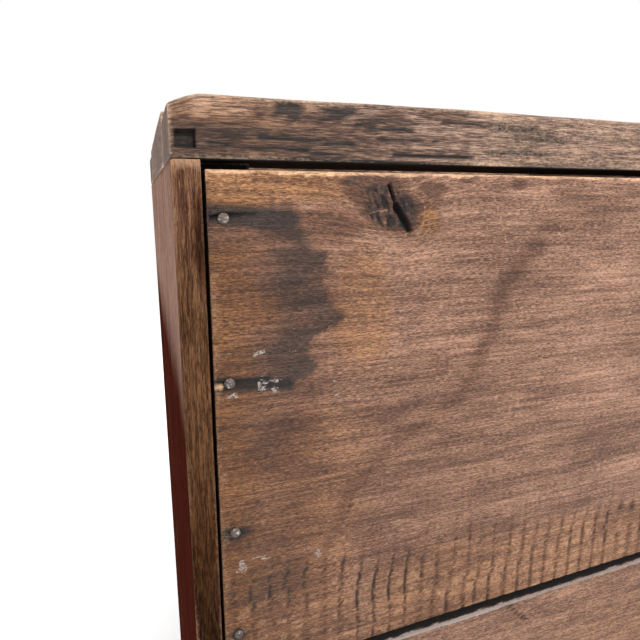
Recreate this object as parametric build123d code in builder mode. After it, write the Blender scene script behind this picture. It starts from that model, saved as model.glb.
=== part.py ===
"""Antique box wheelbarrow: a deep boarded box on two shafts with one spoked wheel.

+Y is the way it is wheeled, +X is the operator's right, +Z is up, and the ground is Z = 0.
"""

from build123d import *
import os
from math import atan, cos, degrees, radians, sin, sqrt, tan

os.makedirs("parts", exist_ok=True)

# ---- driving dimensions, in millimetres and degrees ----
box_width = 500
box_length = 360
rim_top_height = 735
rim_thickness = 31
rim_end_width = 62  # rails over the rear and front walls
rim_side_width = 45  # rails over the side walls
side_thickness = 15
rear_plank_width = 236
foot_length = 110  # flat of each side wall that stands on the ground
nose_height = 100  # lower front corner of each side wall

panel_height = 309
panel_thickness = 16
panel_recess = 4
panel_taper = 2.6
panel_side_gap = 2
panel_edge_gap = 4.5
lower_board_thickness = 20
cleat_size = 28
cleat_chamfer = 5

floor_thickness = 18
floor_board_count = 3
floor_gap = 1
bearer_width = 40
bearer_depth = 45
bearer_notch = 8
bearer_inset = 42  # centre of the end bearers from the box ends
seat_gap = 0.5  # easy fit where a timber drops into a notch

wheel_radius = 220
wheel_gap = 45  # between the box and the back of the wheel
tyre_width = 45
tyre_thickness = 6
felloe_depth = 44
felloe_count = 4
dowel_radius = 5
dowel_length = 40
tyre_nail_gap = 6  # past the end of each dowel
spoke_count = 8
spoke_width = 24
spoke_depth = 30
spoke_neck = 18
foot_tenon_width = 14
foot_tenon_depth = 24
foot_tenon_length = 26
tongue_radius = 8
tongue_length = 30
hub_length = 140
hub_radius = 52
hub_end_radius = 40
hub_waist = 32
band_width = 15
band_thickness = 4
axle_radius = 10
axle_overhang = 24  # past the outer face of each bearing
bearing_running_gap = 0.06
washer_thickness = 3
washer_radius = 17
side_play = 0.5
linch_radius = 2.5
linch_length = 36

shaft_width = 45
shaft_height = 56
hub_room = 15  # between the hub and the two shafts, both sides together
shaft_spread_at_box = 370  # between the shafts' centre lines, at the rear wall
shaft_nose = 75  # in front of the axle
bend_start = 40  # behind the box
bend_radius = 500
bend_angle = 20
handle_run = 195
handle_height = 42
grip_radius = 17
grip_length = 125
grip_neck = 40
grip_round = 5
bearing_drop = 32  # axle below the underside of the shafts
bearing_plate = 8
bearing_plate_length = 96
bearing_plate_width = 40
bearing_width = 14
bearing_reach = 24  # iron around the axle

leg_length_in_plan = 76
leg_inset = 16
stretcher_height = 115
stretcher_depth = 40
stretcher_thickness = 24
tenon_shoulder = 7
rung_offset = 70  # rung between the shafts, behind the box
rung_radius = 13
rung_shoulder = 3
rung_socket = 6  # from the bottom of the socket to the shaft's centre line

bolt_radius = 5
bolt_head_radius = 11
bolt_head_thickness = 5
nut_size = 16
nut_thickness = 8
bolt_spacing = 34
nail_radius = 1.8
nail_head_radius = 3.25
nail_head_thickness = 1.6
nail_length = 34
nail_inset = 8.5  # from the end of the panel
nail_shares = (0.08, 0.369, 0.666, 0.892)  # of the panel height, down from its top
brad_radius = 2.2
brad_inset = 10
brad_length = 42
peg_radius = 3
strap_width = 24
strap_thickness = 4
strap_foot = 60
strap_setback = 6
strap_nail_inset = 14

fastener_gap = 0.05
joint_gap = 0.1

# ---- sizes that follow from them ----
half_width = box_width / 2
inner_half = half_width - side_thickness
rim_underside = rim_top_height - rim_thickness
shaft_spread_at_axle = hub_length + shaft_width + hub_room
axle_height = wheel_radius
shaft_bottom = axle_height + bearing_drop
shaft_middle = shaft_bottom + shaft_height / 2
shaft_top = shaft_bottom + shaft_height
bearer_bottom = shaft_top - bearer_notch
bearer_top = bearer_bottom + bearer_depth
floor_top = bearer_top + floor_thickness
panel_top = rim_underside - panel_edge_gap
panel_bottom = panel_top - panel_height
lower_board_bottom = shaft_top + 2 * seat_gap
axle_from_rear = box_length + wheel_gap + wheel_radius
shaft_angle = degrees(atan((shaft_spread_at_box - shaft_spread_at_axle) / 2 / axle_from_rear))
shaft_slope = tan(radians(shaft_angle))
half_shaft_across = shaft_width / 2 / cos(radians(shaft_angle))
bend = radians(bend_angle)
plan = radians(shaft_angle)

# along a shaft, measured back from the axle
bend_at = (axle_from_rear + bend_start) / cos(plan)
run_start = (bend_at + bend_radius * sin(bend), bend_radius * (1 - cos(bend)))
grip_start = (run_start[0] + handle_run * cos(bend), run_start[1] + handle_run * sin(bend))
grip_end = (grip_start[0] + grip_length * cos(bend), grip_start[1] + grip_length * sin(bend))
grip_lean = sqrt(1 - (cos(bend) * cos(plan)) ** 2)
handle_end = axle_from_rear - grip_end[0] * cos(plan) - (grip_radius - grip_round) * grip_lean
box_rear = -(axle_from_rear + wheel_radius + handle_end) / 2
box_front = box_rear + box_length
axle_y = box_rear + axle_from_rear

bearing_inner = hub_length / 2 + washer_thickness + 2 * side_play
bearing_outer = bearing_inner + bearing_width
axle_half = bearing_outer + axle_overhang
linch_x = bearing_outer + washer_thickness + side_play + linch_radius + side_play
rim_inner_rear = box_rear + rim_end_width
rim_inner_front = box_front - rim_end_width
wall_depth = panel_recess + panel_thickness
cleat_y = (box_rear + wall_depth, box_front - wall_depth)
bearer_y = (box_rear + bearer_inset, (box_rear + box_front) / 2, box_front - bearer_inset)
floor_span = 2 * (inner_half - floor_gap)
floor_board_width = (floor_span - floor_gap * (floor_board_count - 1)) / floor_board_count
floor_pitch = floor_board_width + floor_gap
floor_x = [floor_pitch * (i - (floor_board_count - 1) / 2) for i in range(floor_board_count)]
floor_y = (box_rear + lower_board_thickness + seat_gap, box_front - lower_board_thickness - seat_gap)
brad_offset = floor_board_width / 2 - brad_inset
brad_stagger = bearer_width / 5
brad_spots = [
    (x + edge * brad_offset, y + edge * brad_stagger) for x in floor_x for edge in (-1, 1) for y in bearer_y
]
sides = {"left": -1, "right": 1}
pieces = {}


def shaft_x(y):
    """Distance of a shaft's centre line from the middle of the barrow, at a place along Y."""
    return shaft_spread_at_axle / 2 + shaft_slope * (axle_y - y)


def shaft_plane(side):
    """Upright plane along one shaft: local X runs forward, local Y runs up, at the axle."""
    forward = (-side * sin(plan), cos(plan), 0)
    across = (cos(plan), side * sin(plan), 0)
    start = (side * shaft_spread_at_axle / 2, axle_y, shaft_middle)
    return Plane(origin=start, x_dir=forward, z_dir=across)


def keep(name, part):
    """Label one finished sub-part and remember it under its node name."""
    part.part.label = name
    pieces[name] = part


# ---- shafts, each sawn from one crooked plank, with a turned grip ----
rung_y = box_rear - rung_offset
rung_height = shaft_middle + 2
board_top = panel_bottom - panel_edge_gap
strap_y = box_front + strap_foot / 2
strap_top = board_top - strap_setback
strap_board_z = strap_top - strap_nail_inset
strap_shaft_y = box_front + strap_foot - strap_nail_inset
strap_nail_length = lower_board_thickness
leg_bolt_y = [box_rear + leg_inset + 12, box_rear + leg_inset + leg_length_in_plan - 12]

for word, side in sides.items():
    upright = shaft_plane(side)
    half = shaft_height / 2
    neck = handle_height / 2
    with BuildPart() as shaft:
        with BuildSketch(upright):
            with BuildLine():
                centre = (-bend_at, bend_radius)
                lower = CenterArc(centre, bend_radius + half, 270, -bend_angle)
                upper = CenterArc(centre, bend_radius - half, 270, -bend_angle)
                tip = (-grip_start[0], grip_start[1])
                tip_low = (tip[0] - neck * sin(bend), tip[1] - neck * cos(bend))
                tip_high = (tip[0] + neck * sin(bend), tip[1] + neck * cos(bend))
                Line(lower @ 1, tip_low)
                Line(tip_low, tip_high)
                Line(tip_high, upper @ 1)
                Line(lower @ 0, (shaft_nose, -half))
                Line((shaft_nose, -half), (shaft_nose, half))
                Line((shaft_nose, half), upper @ 0)
            make_face()
        extrude(amount=shaft_width / 2, both=True)
        nose_edges = shaft.edges().filter_by(lambda e: abs(e.length - shaft_width) < 0.01)
        fillet(nose_edges.sort_by(Axis.Y)[-2:], half * 0.45)
        grip_origin = upright.from_local_coords(Vector(-grip_start[0], grip_start[1], 0))
        grip_tip = upright.from_local_coords(Vector(-grip_end[0], grip_end[1], 0))
        along = grip_tip - grip_origin
        grip_plane = Plane(origin=grip_origin, x_dir=upright.z_dir, z_dir=along)
        with BuildSketch(grip_plane):
            Rectangle(shaft_width, handle_height)
        with BuildSketch(grip_plane.offset(grip_neck)):
            Circle(grip_radius)
        loft()
        with BuildSketch(grip_plane.offset(grip_neck)):
            Circle(grip_radius)
        extrude(amount=grip_length - grip_neck)
        chamfer(shaft.edges().filter_by(GeomType.CIRCLE).sort_by(Axis.Y)[0], grip_round)
        # upright holes for the bearer bolts and the bearing bolts
        spots = [(side * shaft_x(y), y) for y in bearer_y]
        spots += [(side * shaft_x(axle_y + d), axle_y + d) for d in (-bolt_spacing, bolt_spacing)]
        with BuildSketch(Plane.XY.offset(shaft_bottom - 1)):
            with Locations(*spots):
                Circle(bolt_radius + fastener_gap)
        extrude(amount=shaft_height + 2, mode=Mode.SUBTRACT)
        # level holes for the leg bolts, and the mortise for the rung
        with BuildSketch(Plane.YZ):
            with Locations(*[(y, shaft_middle) for y in leg_bolt_y]):
                Circle(bolt_radius + fastener_gap)
        extrude(amount=side * inner_half, mode=Mode.SUBTRACT)
        with BuildSketch(Plane.YZ.offset(side * (shaft_x(rung_y) - rung_socket + joint_gap))):
            with Locations((rung_y, rung_height)):
                Circle(rung_radius - rung_shoulder + joint_gap)
        extrude(amount=-side * shaft_width, mode=Mode.SUBTRACT)
        # pilot for the front strap's nail
        with BuildSketch(Plane.XY.offset(shaft_top)):
            with Locations((side * shaft_x(strap_y), strap_shaft_y)):
                Circle(nail_radius + fastener_gap)
        extrude(amount=-nail_length, mode=Mode.SUBTRACT)
    keep(f"shaft_{word}", shaft)

# ---- rung between the handles ----
with BuildPart() as rung:
    shoulder = shaft_x(rung_y) - half_shaft_across - 2
    with BuildSketch(Plane.YZ.offset(-shoulder)):
        with Locations((rung_y, rung_height)):
            Circle(rung_radius)
    extrude(amount=2 * shoulder)
    tenon_reach = shaft_x(rung_y) - rung_socket
    with BuildSketch(Plane.YZ.offset(-tenon_reach)):
        with Locations((rung_y, rung_height)):
            Circle(rung_radius - rung_shoulder)
    extrude(amount=2 * tenon_reach)
keep("shaft_rung", rung)

# ---- bearers across the shafts, notched to drop over them ----
for word, y in zip(("rear", "middle", "front"), bearer_y):
    with BuildPart() as bearer:
        with BuildSketch(Plane.XY.offset(bearer_bottom)):
            with Locations((0, y)):
                Rectangle(2 * (inner_half - seat_gap), bearer_width)
        extrude(amount=bearer_depth)
        for side in sides.values():
            ends = [y - bearer_width, y + bearer_width]
            inner = [(side * (shaft_x(e) - half_shaft_across - seat_gap), e) for e in ends]
            outer = [(side * (shaft_x(e) + half_shaft_across + seat_gap), e) for e in ends[::-1]]
            with BuildSketch(Plane.XY.offset(bearer_bottom)):
                Polygon(*inner, *outer, align=None)
            extrude(amount=bearer_notch, mode=Mode.SUBTRACT)
        spots = [(side * shaft_x(y), y) for side in sides.values()]
        with BuildSketch(Plane.XY.offset(bearer_bottom)):
            with Locations(*spots):
                Circle(bolt_radius + fastener_gap)
        extrude(amount=bearer_depth, mode=Mode.SUBTRACT)
        with BuildSketch(Plane.XY.offset(bearer_top)):
            with Locations(*spots):
                Circle(bolt_head_radius + seat_gap)
        extrude(amount=-bolt_head_thickness - seat_gap, mode=Mode.SUBTRACT)
        with BuildSketch(Plane.XY.offset(bearer_top)):
            with Locations(*brad_spots):
                Circle(brad_radius + fastener_gap)
        extrude(amount=floor_thickness - brad_length - 1, mode=Mode.SUBTRACT)
    keep(f"bearer_{word}", bearer)

# ---- floor boards, lengthwise on the bearers ----
for number, x in enumerate(floor_x, start=1):
    with BuildPart() as board:
        with BuildSketch(Plane.XY.offset(bearer_top)):
            with Locations((x, sum(floor_y) / 2)):
                Rectangle(floor_board_width, floor_y[1] - floor_y[0])
        extrude(amount=floor_thickness)
        with BuildSketch(Plane.XY.offset(bearer_top)):
            with Locations(*[s for s in brad_spots if abs(s[0] - x) < floor_board_width / 2]):
                Circle(brad_radius + fastener_gap)
        extrude(amount=floor_thickness, mode=Mode.SUBTRACT)
    keep(f"floor_board_{number}", board)

with BuildPart() as brads:
    with BuildSketch(Plane.XY.offset(floor_top)):
        with Locations(*brad_spots):
            Circle(brad_radius)
    extrude(amount=-brad_length)
keep("floor_nails", brads)

# ---- side walls: upright planks whose lower ends are the legs of the barrow ----
nose_rise = nose_height / (box_length - foot_length)
plank_joint = box_rear + rear_plank_width
foot_end = box_rear + foot_length


def plank_foot(y):
    """Height of the side wall's lower edge at a place along Y, forward of the foot."""
    return nose_rise * (y - foot_end)


rear_outline = [
    (box_rear, 0),
    (foot_end, 0),
    (plank_joint, plank_foot(plank_joint)),
    (plank_joint, rim_underside),
    (box_rear, rim_underside),
]
front_outline = [
    (plank_joint + seat_gap, plank_foot(plank_joint + seat_gap)),
    (box_front, nose_height),
    (box_front, rim_underside),
    (plank_joint + seat_gap, rim_underside),
]
rim_nail_share = 0.72  # of the cleat's width, in from the side wall
side_nail_z = [floor_top + 40 + i * (rim_underside - floor_top - 80) / 3 for i in range(4)]
cleat_mid = {"rear": cleat_y[0] + cleat_size / 2, "front": cleat_y[1] - cleat_size / 2}
cleat_nail_y = {"rear": cleat_y[0] + cleat_size * 0.7, "front": cleat_y[1] - cleat_size * 0.7}
rim_nail_y = [box_rear + 95, box_rear + box_length / 2, box_front - 95]
side_middle_x = half_width - side_thickness / 2

for word, side in sides.items():
    for place, outline in (("rear", rear_outline), ("front", front_outline)):
        with BuildPart() as plank:
            with BuildSketch(Plane.YZ.offset(side * inner_half)):
                Polygon(*outline, align=None)
            extrude(amount=side * side_thickness)
            # blind pilots for the nails that come through the cleat from inside
            with BuildSketch(Plane.YZ.offset(side * inner_half)):
                with Locations(*[(cleat_nail_y[place], z) for z in side_nail_z]):
                    Circle(nail_radius + fastener_gap)
            extrude(amount=side * (nail_length - cleat_size + 1), mode=Mode.SUBTRACT)
            low, high = outline[0][0], outline[-2][0]
            tops = [(side * side_middle_x, y) for y in rim_nail_y if low < y < high]
            with BuildSketch(Plane.XY.offset(rim_underside)):
                with Locations(*tops):
                    Circle(nail_radius + fastener_gap)
            extrude(amount=-nail_length, mode=Mode.SUBTRACT)
            if place == "rear":
                with BuildSketch(Plane.YZ.offset(side * inner_half)):
                    with Locations(*[(y, shaft_middle) for y in leg_bolt_y]):
                        Circle(bolt_radius + fastener_gap)
                extrude(amount=side * side_thickness, mode=Mode.SUBTRACT)
        keep(f"side_plank_{word}_{place}", plank)

# ---- leg posts between each shaft and its side wall, and the stretcher between them ----
leg_y = (box_rear + leg_inset, box_rear + leg_inset + leg_length_in_plan)
leg_mid_y = sum(leg_y) / 2
for word, side in sides.items():
    with BuildPart() as leg:
        inner = [(side * (shaft_x(y) + half_shaft_across), y) for y in leg_y]
        outer = [(side * inner_half, y) for y in leg_y[::-1]]
        with BuildSketch(Plane.XY):
            Polygon(*inner, *outer, align=None)
        extrude(amount=bearer_bottom)
        with BuildSketch(Plane.YZ.offset(side * inner_half)):
            with Locations(*[(y, shaft_middle) for y in leg_bolt_y]):
                Circle(bolt_radius + fastener_gap)
        extrude(amount=-side * inner_half, mode=Mode.SUBTRACT)
        with BuildSketch(Plane.YZ.offset(side * inner_half)):
            with Locations((leg_mid_y, stretcher_height)):
                Rectangle(stretcher_thickness - tenon_shoulder + 2 * joint_gap,
                          stretcher_depth - tenon_shoulder + 2 * joint_gap)
        extrude(amount=-side * inner_half, mode=Mode.SUBTRACT)
    keep(f"leg_post_{word}", leg)

stretcher_half = shaft_x(leg_y[0]) + half_shaft_across - shaft_slope * leg_length_in_plan
with BuildPart() as stretcher:
    with BuildSketch(Plane.YZ.offset(-stretcher_half)):
        with Locations((leg_mid_y, stretcher_height)):
            Rectangle(stretcher_thickness, stretcher_depth)
    extrude(amount=2 * stretcher_half)
    tenon_half = inner_half - joint_gap
    with BuildSketch(Plane.YZ.offset(-tenon_half)):
        with Locations((leg_mid_y, stretcher_height)):
            Rectangle(stretcher_thickness - tenon_shoulder, stretcher_depth - tenon_shoulder)
    extrude(amount=2 * tenon_half)
keep("leg_stretcher", stretcher)

# ---- end walls: a wide upper panel over a lower board, held by nails into corner cleats ----
wall_half = inner_half - panel_side_gap
taper_rise = 2 * wall_half * tan(radians(panel_taper))
nail_x = wall_half - nail_inset
nail_z = [panel_top - share * panel_height for share in nail_shares]
lower_nail_z = floor_top + nail_inset + 4
ends = {
    "rear": {"y": box_rear, "into": 1, "rise": taper_rise},
    "front": {"y": box_front, "into": -1, "rise": 0},
}
for word, end in ends.items():
    into = end["into"]
    face = Plane(origin=(0, end["y"], 0), x_dir=(1, 0, 0), z_dir=(0, -1, 0))
    panel_face = face.offset(-panel_recess) if into > 0 else face.offset(panel_recess)
    with BuildPart() as panel:
        with BuildSketch(panel_face):
            Polygon(
                (-wall_half, panel_bottom),
                (wall_half, panel_bottom + end["rise"]),
                (wall_half, panel_top),
                (-wall_half, panel_top),
                align=None,
            )
        extrude(amount=-into * panel_thickness)
        with BuildSketch(panel_face):
            with Locations(*[(s * nail_x, z) for s in (-1, 1) for z in nail_z]):
                Circle(nail_radius + fastener_gap)
        extrude(amount=-into * panel_thickness, mode=Mode.SUBTRACT)
    keep(f"{word}_panel", panel)

    with BuildPart() as lower_board:
        with BuildSketch(face):
            Polygon(
                (-wall_half, lower_board_bottom),
                (wall_half, lower_board_bottom),
                (wall_half, board_top + end["rise"]),
                (-wall_half, board_top),
                align=None,
            )
        extrude(amount=-into * lower_board_thickness)
        with BuildSketch(face):
            with Locations(*[(s * nail_x, lower_nail_z) for s in (-1, 1)]):
                Circle(nail_radius + fastener_gap)
        extrude(amount=-into * lower_board_thickness, mode=Mode.SUBTRACT)
        if word == "front":
            with BuildSketch(Plane.XZ.offset(-box_front)):
                with Locations(*[(s * shaft_x(strap_y), strap_board_z) for s in (-1, 1)]):
                    Circle(nail_radius + fastener_gap)
            extrude(amount=strap_nail_length, mode=Mode.SUBTRACT)
    keep(f"{word}_lower_board", lower_board)

    with BuildPart() as wall_nails:
        head_face = panel_face.offset(into * nail_head_thickness)
        with BuildSketch(head_face):
            with Locations(*[(s * nail_x, z) for s in (-1, 1) for z in nail_z]):
                RegularPolygon(nail_head_radius, 8)
        extrude(amount=-into * nail_head_thickness)
        with BuildSketch(panel_face):
            with Locations(*[(s * nail_x, z) for s in (-1, 1) for z in nail_z]):
                Circle(nail_radius)
        extrude(amount=-into * nail_length)
        with BuildSketch(face.offset(into * nail_head_thickness)):
            with Locations(*[(s * nail_x, lower_nail_z) for s in (-1, 1)]):
                RegularPolygon(nail_head_radius, 8)
        extrude(amount=-into * nail_head_thickness)
        with BuildSketch(face):
            with Locations(*[(s * nail_x, lower_nail_z) for s in (-1, 1)]):
                Circle(nail_radius)
        extrude(amount=-into * nail_length)
    keep(f"{word}_wall_nails", wall_nails)

    wall_nail_holes = [(s * nail_x, z) for s in (-1, 1) for z in nail_z + [lower_nail_z]]
    for hand, side in sides.items():
        x_mid = side * (inner_half - cleat_size / 2)
        y_mid = cleat_mid[word]
        with BuildPart() as cleat:
            with BuildSketch(Plane.XY.offset(floor_top)):
                with Locations((x_mid, y_mid)):
                    Rectangle(cleat_size, cleat_size)
            extrude(amount=rim_underside - floor_top)
            upright_edges = cleat.edges().filter_by(Axis.Z).sort_by(Axis.X)[::side][:2]
            chamfer(upright_edges.sort_by(Axis.Y)[::into][-1], cleat_chamfer)
            with BuildSketch(panel_face):
                with Locations(*wall_nail_holes):
                    Circle(nail_radius + fastener_gap)
            extrude(amount=-into * (nail_length + 1), mode=Mode.SUBTRACT)
            with BuildSketch(Plane.YZ.offset(side * inner_half)):
                with Locations(*[(cleat_nail_y[word], z) for z in side_nail_z]):
                    Circle(nail_radius + fastener_gap)
            extrude(amount=-side * cleat_size, mode=Mode.SUBTRACT)
            with BuildSketch(Plane.XY.offset(rim_underside)):
                with Locations((side * (inner_half - rim_nail_share * cleat_size), y_mid)):
                    Circle(nail_radius + fastener_gap)
            extrude(amount=-nail_length, mode=Mode.SUBTRACT)
        keep(f"corner_cleat_{hand}_{word}", cleat)

# ---- nails from inside through the cleats into the side planks ----
with BuildPart() as cleat_nails:
    for side in sides.values():
        spots = [(cleat_nail_y[word], z) for word in ends for z in side_nail_z]
        inside = Plane.YZ.offset(side * (inner_half - cleat_size))
        with BuildSketch(inside):
            with Locations(*spots):
                Circle(nail_radius)
        extrude(amount=side * nail_length)
        with BuildSketch(inside.offset(-side * nail_head_thickness)):
            with Locations(*spots):
                RegularPolygon(nail_head_radius, 8)
        extrude(amount=side * nail_head_thickness)
keep("cleat_nails", cleat_nails)

# ---- rim: end rails run through, side rails are tenoned into them and pegged ----
tenon_x = half_width - 8
tenon_width = 10
tenon_height = 9
tenon_z = rim_top_height - 21.3
tenon_sunk = 4
peg_y = {"rear": box_rear + rim_end_width / 2, "front": box_front - rim_end_width / 2}
rim_cleat_nails = [
    (side * (inner_half - rim_nail_share * cleat_size), cleat_mid[word]) for side in (-1, 1) for word in ends
]
rim_plank_nails = [(side * side_middle_x, y) for side in (-1, 1) for y in rim_nail_y]

for word, end in ends.items():
    y_mid = end["y"] + end["into"] * rim_end_width / 2
    with BuildPart() as rail:
        with BuildSketch(Plane.XY.offset(rim_underside)):
            with Locations((0, y_mid)):
                Rectangle(box_width, rim_end_width)
        extrude(amount=rim_thickness)
        with BuildSketch(Plane.XZ.offset(-y_mid)):
            with Locations((-tenon_x, tenon_z), (tenon_x, tenon_z)):
                Rectangle(tenon_width + 2 * joint_gap, tenon_height + 2 * joint_gap)
        extrude(amount=rim_end_width, both=True, mode=Mode.SUBTRACT)
        holes = [(s * tenon_x, peg_y[word], peg_radius) for s in (-1, 1)]
        holes += [(x, y, nail_radius) for x, y in rim_cleat_nails if abs(y - y_mid) < rim_end_width / 2]
        for x, y, radius in holes:
            with BuildSketch(Plane.XY.offset(rim_underside)):
                with Locations((x, y)):
                    Circle(radius + fastener_gap)
            extrude(amount=rim_thickness, mode=Mode.SUBTRACT)
    keep(f"rim_{word}", rail)

for word, side in sides.items():
    with BuildPart() as rail:
        with BuildSketch(Plane.XY.offset(rim_underside)):
            with Locations((side * (half_width - rim_side_width / 2), (box_rear + box_front) / 2)):
                Rectangle(rim_side_width, rim_inner_front - rim_inner_rear)
        extrude(amount=rim_thickness)
        with BuildSketch(Plane.XZ.offset(-(box_rear + box_front) / 2)):
            with Locations((side * tenon_x, tenon_z)):
                Rectangle(tenon_width, tenon_height)
        extrude(amount=box_length / 2 - tenon_sunk, both=True)
        with BuildSketch(Plane.XY.offset(rim_underside)):
            with Locations(*[(side * tenon_x, y) for y in peg_y.values()]):
                Circle(peg_radius + fastener_gap)
            with Locations(*[s for s in rim_plank_nails if s[0] * side > 0]):
                Circle(nail_radius + fastener_gap)
        extrude(amount=rim_thickness, mode=Mode.SUBTRACT)
    keep(f"rim_{word}", rail)

with BuildPart() as pegs:
    with BuildSketch(Plane.XY.offset(rim_underside)):
        with Locations(*[(s * tenon_x, y) for s in (-1, 1) for y in peg_y.values()]):
            Circle(peg_radius)
    extrude(amount=rim_thickness)
keep("rim_pegs", pegs)

with BuildPart() as rim_nails:
    with BuildSketch(Plane.XY.offset(rim_top_height)):
        with Locations(*(rim_cleat_nails + rim_plank_nails)):
            Circle(nail_radius)
    extrude(amount=-(rim_thickness + nail_length - 2))
keep("rim_nails", rim_nails)

# ---- bearings: forged brackets under the shafts that carry the axle ----
for word, side in sides.items():
    upright = shaft_plane(side)
    with BuildPart() as bearing:
        under = Plane(
            origin=(side * shaft_spread_at_axle / 2, axle_y, shaft_bottom),
            x_dir=upright.x_dir,
            z_dir=(0, 0, 1),
        )
        with BuildSketch(under):
            RectangleRounded(bearing_plate_length, bearing_plate_width, 6)
        extrude(amount=-bearing_plate)
        with BuildSketch(Plane.YZ.offset(side * bearing_inner)):
            with Locations((axle_y, axle_height)):
                Circle(bearing_reach)
            with Locations((axle_y, (axle_height + shaft_bottom - bearing_plate / 2) / 2)):
                Rectangle(2 * bearing_reach, shaft_bottom - bearing_plate / 2 - axle_height)
        extrude(amount=side * bearing_width)
        with BuildSketch(Plane.YZ.offset(side * bearing_inner)):
            with Locations((axle_y, axle_height)):
                Circle(axle_radius + bearing_running_gap)
        extrude(amount=side * bearing_width, mode=Mode.SUBTRACT)
        spots = [(side * shaft_x(axle_y + d), axle_y + d) for d in (-bolt_spacing, bolt_spacing)]
        with BuildSketch(Plane.XY.offset(shaft_bottom)):
            with Locations(*spots):
                Circle(bolt_radius + fastener_gap)
        extrude(amount=-bearing_plate, mode=Mode.SUBTRACT)
    keep(f"bearing_{word}", bearing)

# ---- straps that tie the front wall down to the shafts ----
for word, side in sides.items():
    with BuildPart() as strap:
        with BuildSketch(Plane.YZ.offset(side * shaft_x(strap_y) - strap_width / 2)):
            corner = (box_front, shaft_top)
            Polygon(
                corner,
                (box_front + strap_foot, shaft_top),
                (box_front + strap_foot, shaft_top + strap_thickness),
                (box_front + strap_thickness, shaft_top + strap_thickness),
                (box_front + strap_thickness, strap_top),
                (box_front, strap_top),
                align=None,
            )
        extrude(amount=strap_width)
        with BuildSketch(Plane.XY.offset(shaft_top)):
            with Locations((side * shaft_x(strap_y), strap_shaft_y)):
                Circle(nail_radius + fastener_gap)
        extrude(amount=strap_thickness, mode=Mode.SUBTRACT)
        with BuildSketch(Plane.XZ.offset(-box_front)):
            with Locations((side * shaft_x(strap_y), strap_board_z)):
                Circle(nail_radius + fastener_gap)
        extrude(amount=-strap_thickness, mode=Mode.SUBTRACT)
    keep(f"front_strap_{word}", strap)

with BuildPart() as strap_nails:
    for side in sides.values():
        x = side * shaft_x(strap_y)
        with BuildSketch(Plane.XY.offset(shaft_top + strap_thickness)):
            with Locations((x, strap_shaft_y)):
                RegularPolygon(nail_head_radius + 1, 8)
        extrude(amount=nail_head_thickness)
        with BuildSketch(Plane.XY.offset(shaft_top + strap_thickness)):
            with Locations((x, strap_shaft_y)):
                Circle(nail_radius)
        extrude(amount=-nail_length)
        with BuildSketch(Plane.XZ.offset(-box_front - strap_thickness)):
            with Locations((x, strap_board_z)):
                RegularPolygon(nail_head_radius + 1, 8)
        extrude(amount=-nail_head_thickness)
        with BuildSketch(Plane.XZ.offset(-box_front - strap_thickness)):
            with Locations((x, strap_board_z)):
                Circle(nail_radius)
        extrude(amount=strap_nail_length + strap_thickness - 1)
keep("strap_nails", strap_nails)

# ---- coach bolts with their square nuts ----
head_bolts = [(side * shaft_x(y), y, bearer_top - bolt_head_thickness, shaft_bottom)
              for side in (-1, 1) for y in bearer_y]
head_bolts += [(side * shaft_x(axle_y + d), axle_y + d, shaft_top, shaft_bottom - bearing_plate)
               for side in (-1, 1) for d in (-bolt_spacing, bolt_spacing)]
with BuildPart() as coach_bolts:
    for x, y, head_z, nut_z in head_bolts:
        with BuildSketch(Plane.XY.offset(head_z)):
            with Locations((x, y)):
                Circle(bolt_head_radius)
        extrude(amount=bolt_head_thickness, taper=25)
        with BuildSketch(Plane.XY.offset(head_z)):
            with Locations((x, y)):
                Circle(bolt_radius)
        extrude(amount=nut_z - nut_thickness - 3 - head_z)
        with BuildSketch(Plane.XY.offset(nut_z)):
            with Locations((x, y)):
                Rectangle(nut_size, nut_size)
        extrude(amount=-nut_thickness)
    for side in sides.values():
        for y in leg_bolt_y:
            nut_x = shaft_x(y) - half_shaft_across - nut_size / 2 * shaft_slope
            with BuildSketch(Plane.YZ.offset(side * half_width)):
                with Locations((y, shaft_middle)):
                    Circle(bolt_head_radius)
            extrude(amount=side * bolt_head_thickness, taper=25)
            with BuildSketch(Plane.YZ.offset(side * half_width)):
                with Locations((y, shaft_middle)):
                    Circle(bolt_radius)
            extrude(amount=-side * (half_width - nut_x + nut_thickness + 3))
            with BuildSketch(Plane.YZ.offset(side * nut_x)):
                with Locations((y, shaft_middle)):
                    Rectangle(nut_size, nut_size)
            extrude(amount=-side * nut_thickness)
keep("coach_bolts", coach_bolts)

# ---- wheel ----
felloe_outer = wheel_radius - tyre_thickness - joint_gap
felloe_inner = felloe_outer - felloe_depth
spoke_pitch = 360 / spoke_count
felloe_pitch = 360 / felloe_count
axis_plane = Plane(origin=(0, axle_y, axle_height), x_dir=(0, 1, 0), z_dir=(1, 0, 0))
turning = Plane(origin=(0, axle_y, axle_height), x_dir=(1, 0, 0), z_dir=(0, -1, 0))
mortise_floor = hub_radius - foot_tenon_length


def spoke_plane(number, radius):
    """Plane square to one spoke, at a distance from the axle; local X runs along the axle."""
    angle = radians(spoke_pitch * (number + 0.5))
    outward = Vector(0, cos(angle), sin(angle))
    place = Vector(0, axle_y, axle_height) + outward * radius
    return Plane(origin=place, x_dir=(1, 0, 0), z_dir=outward)


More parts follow.
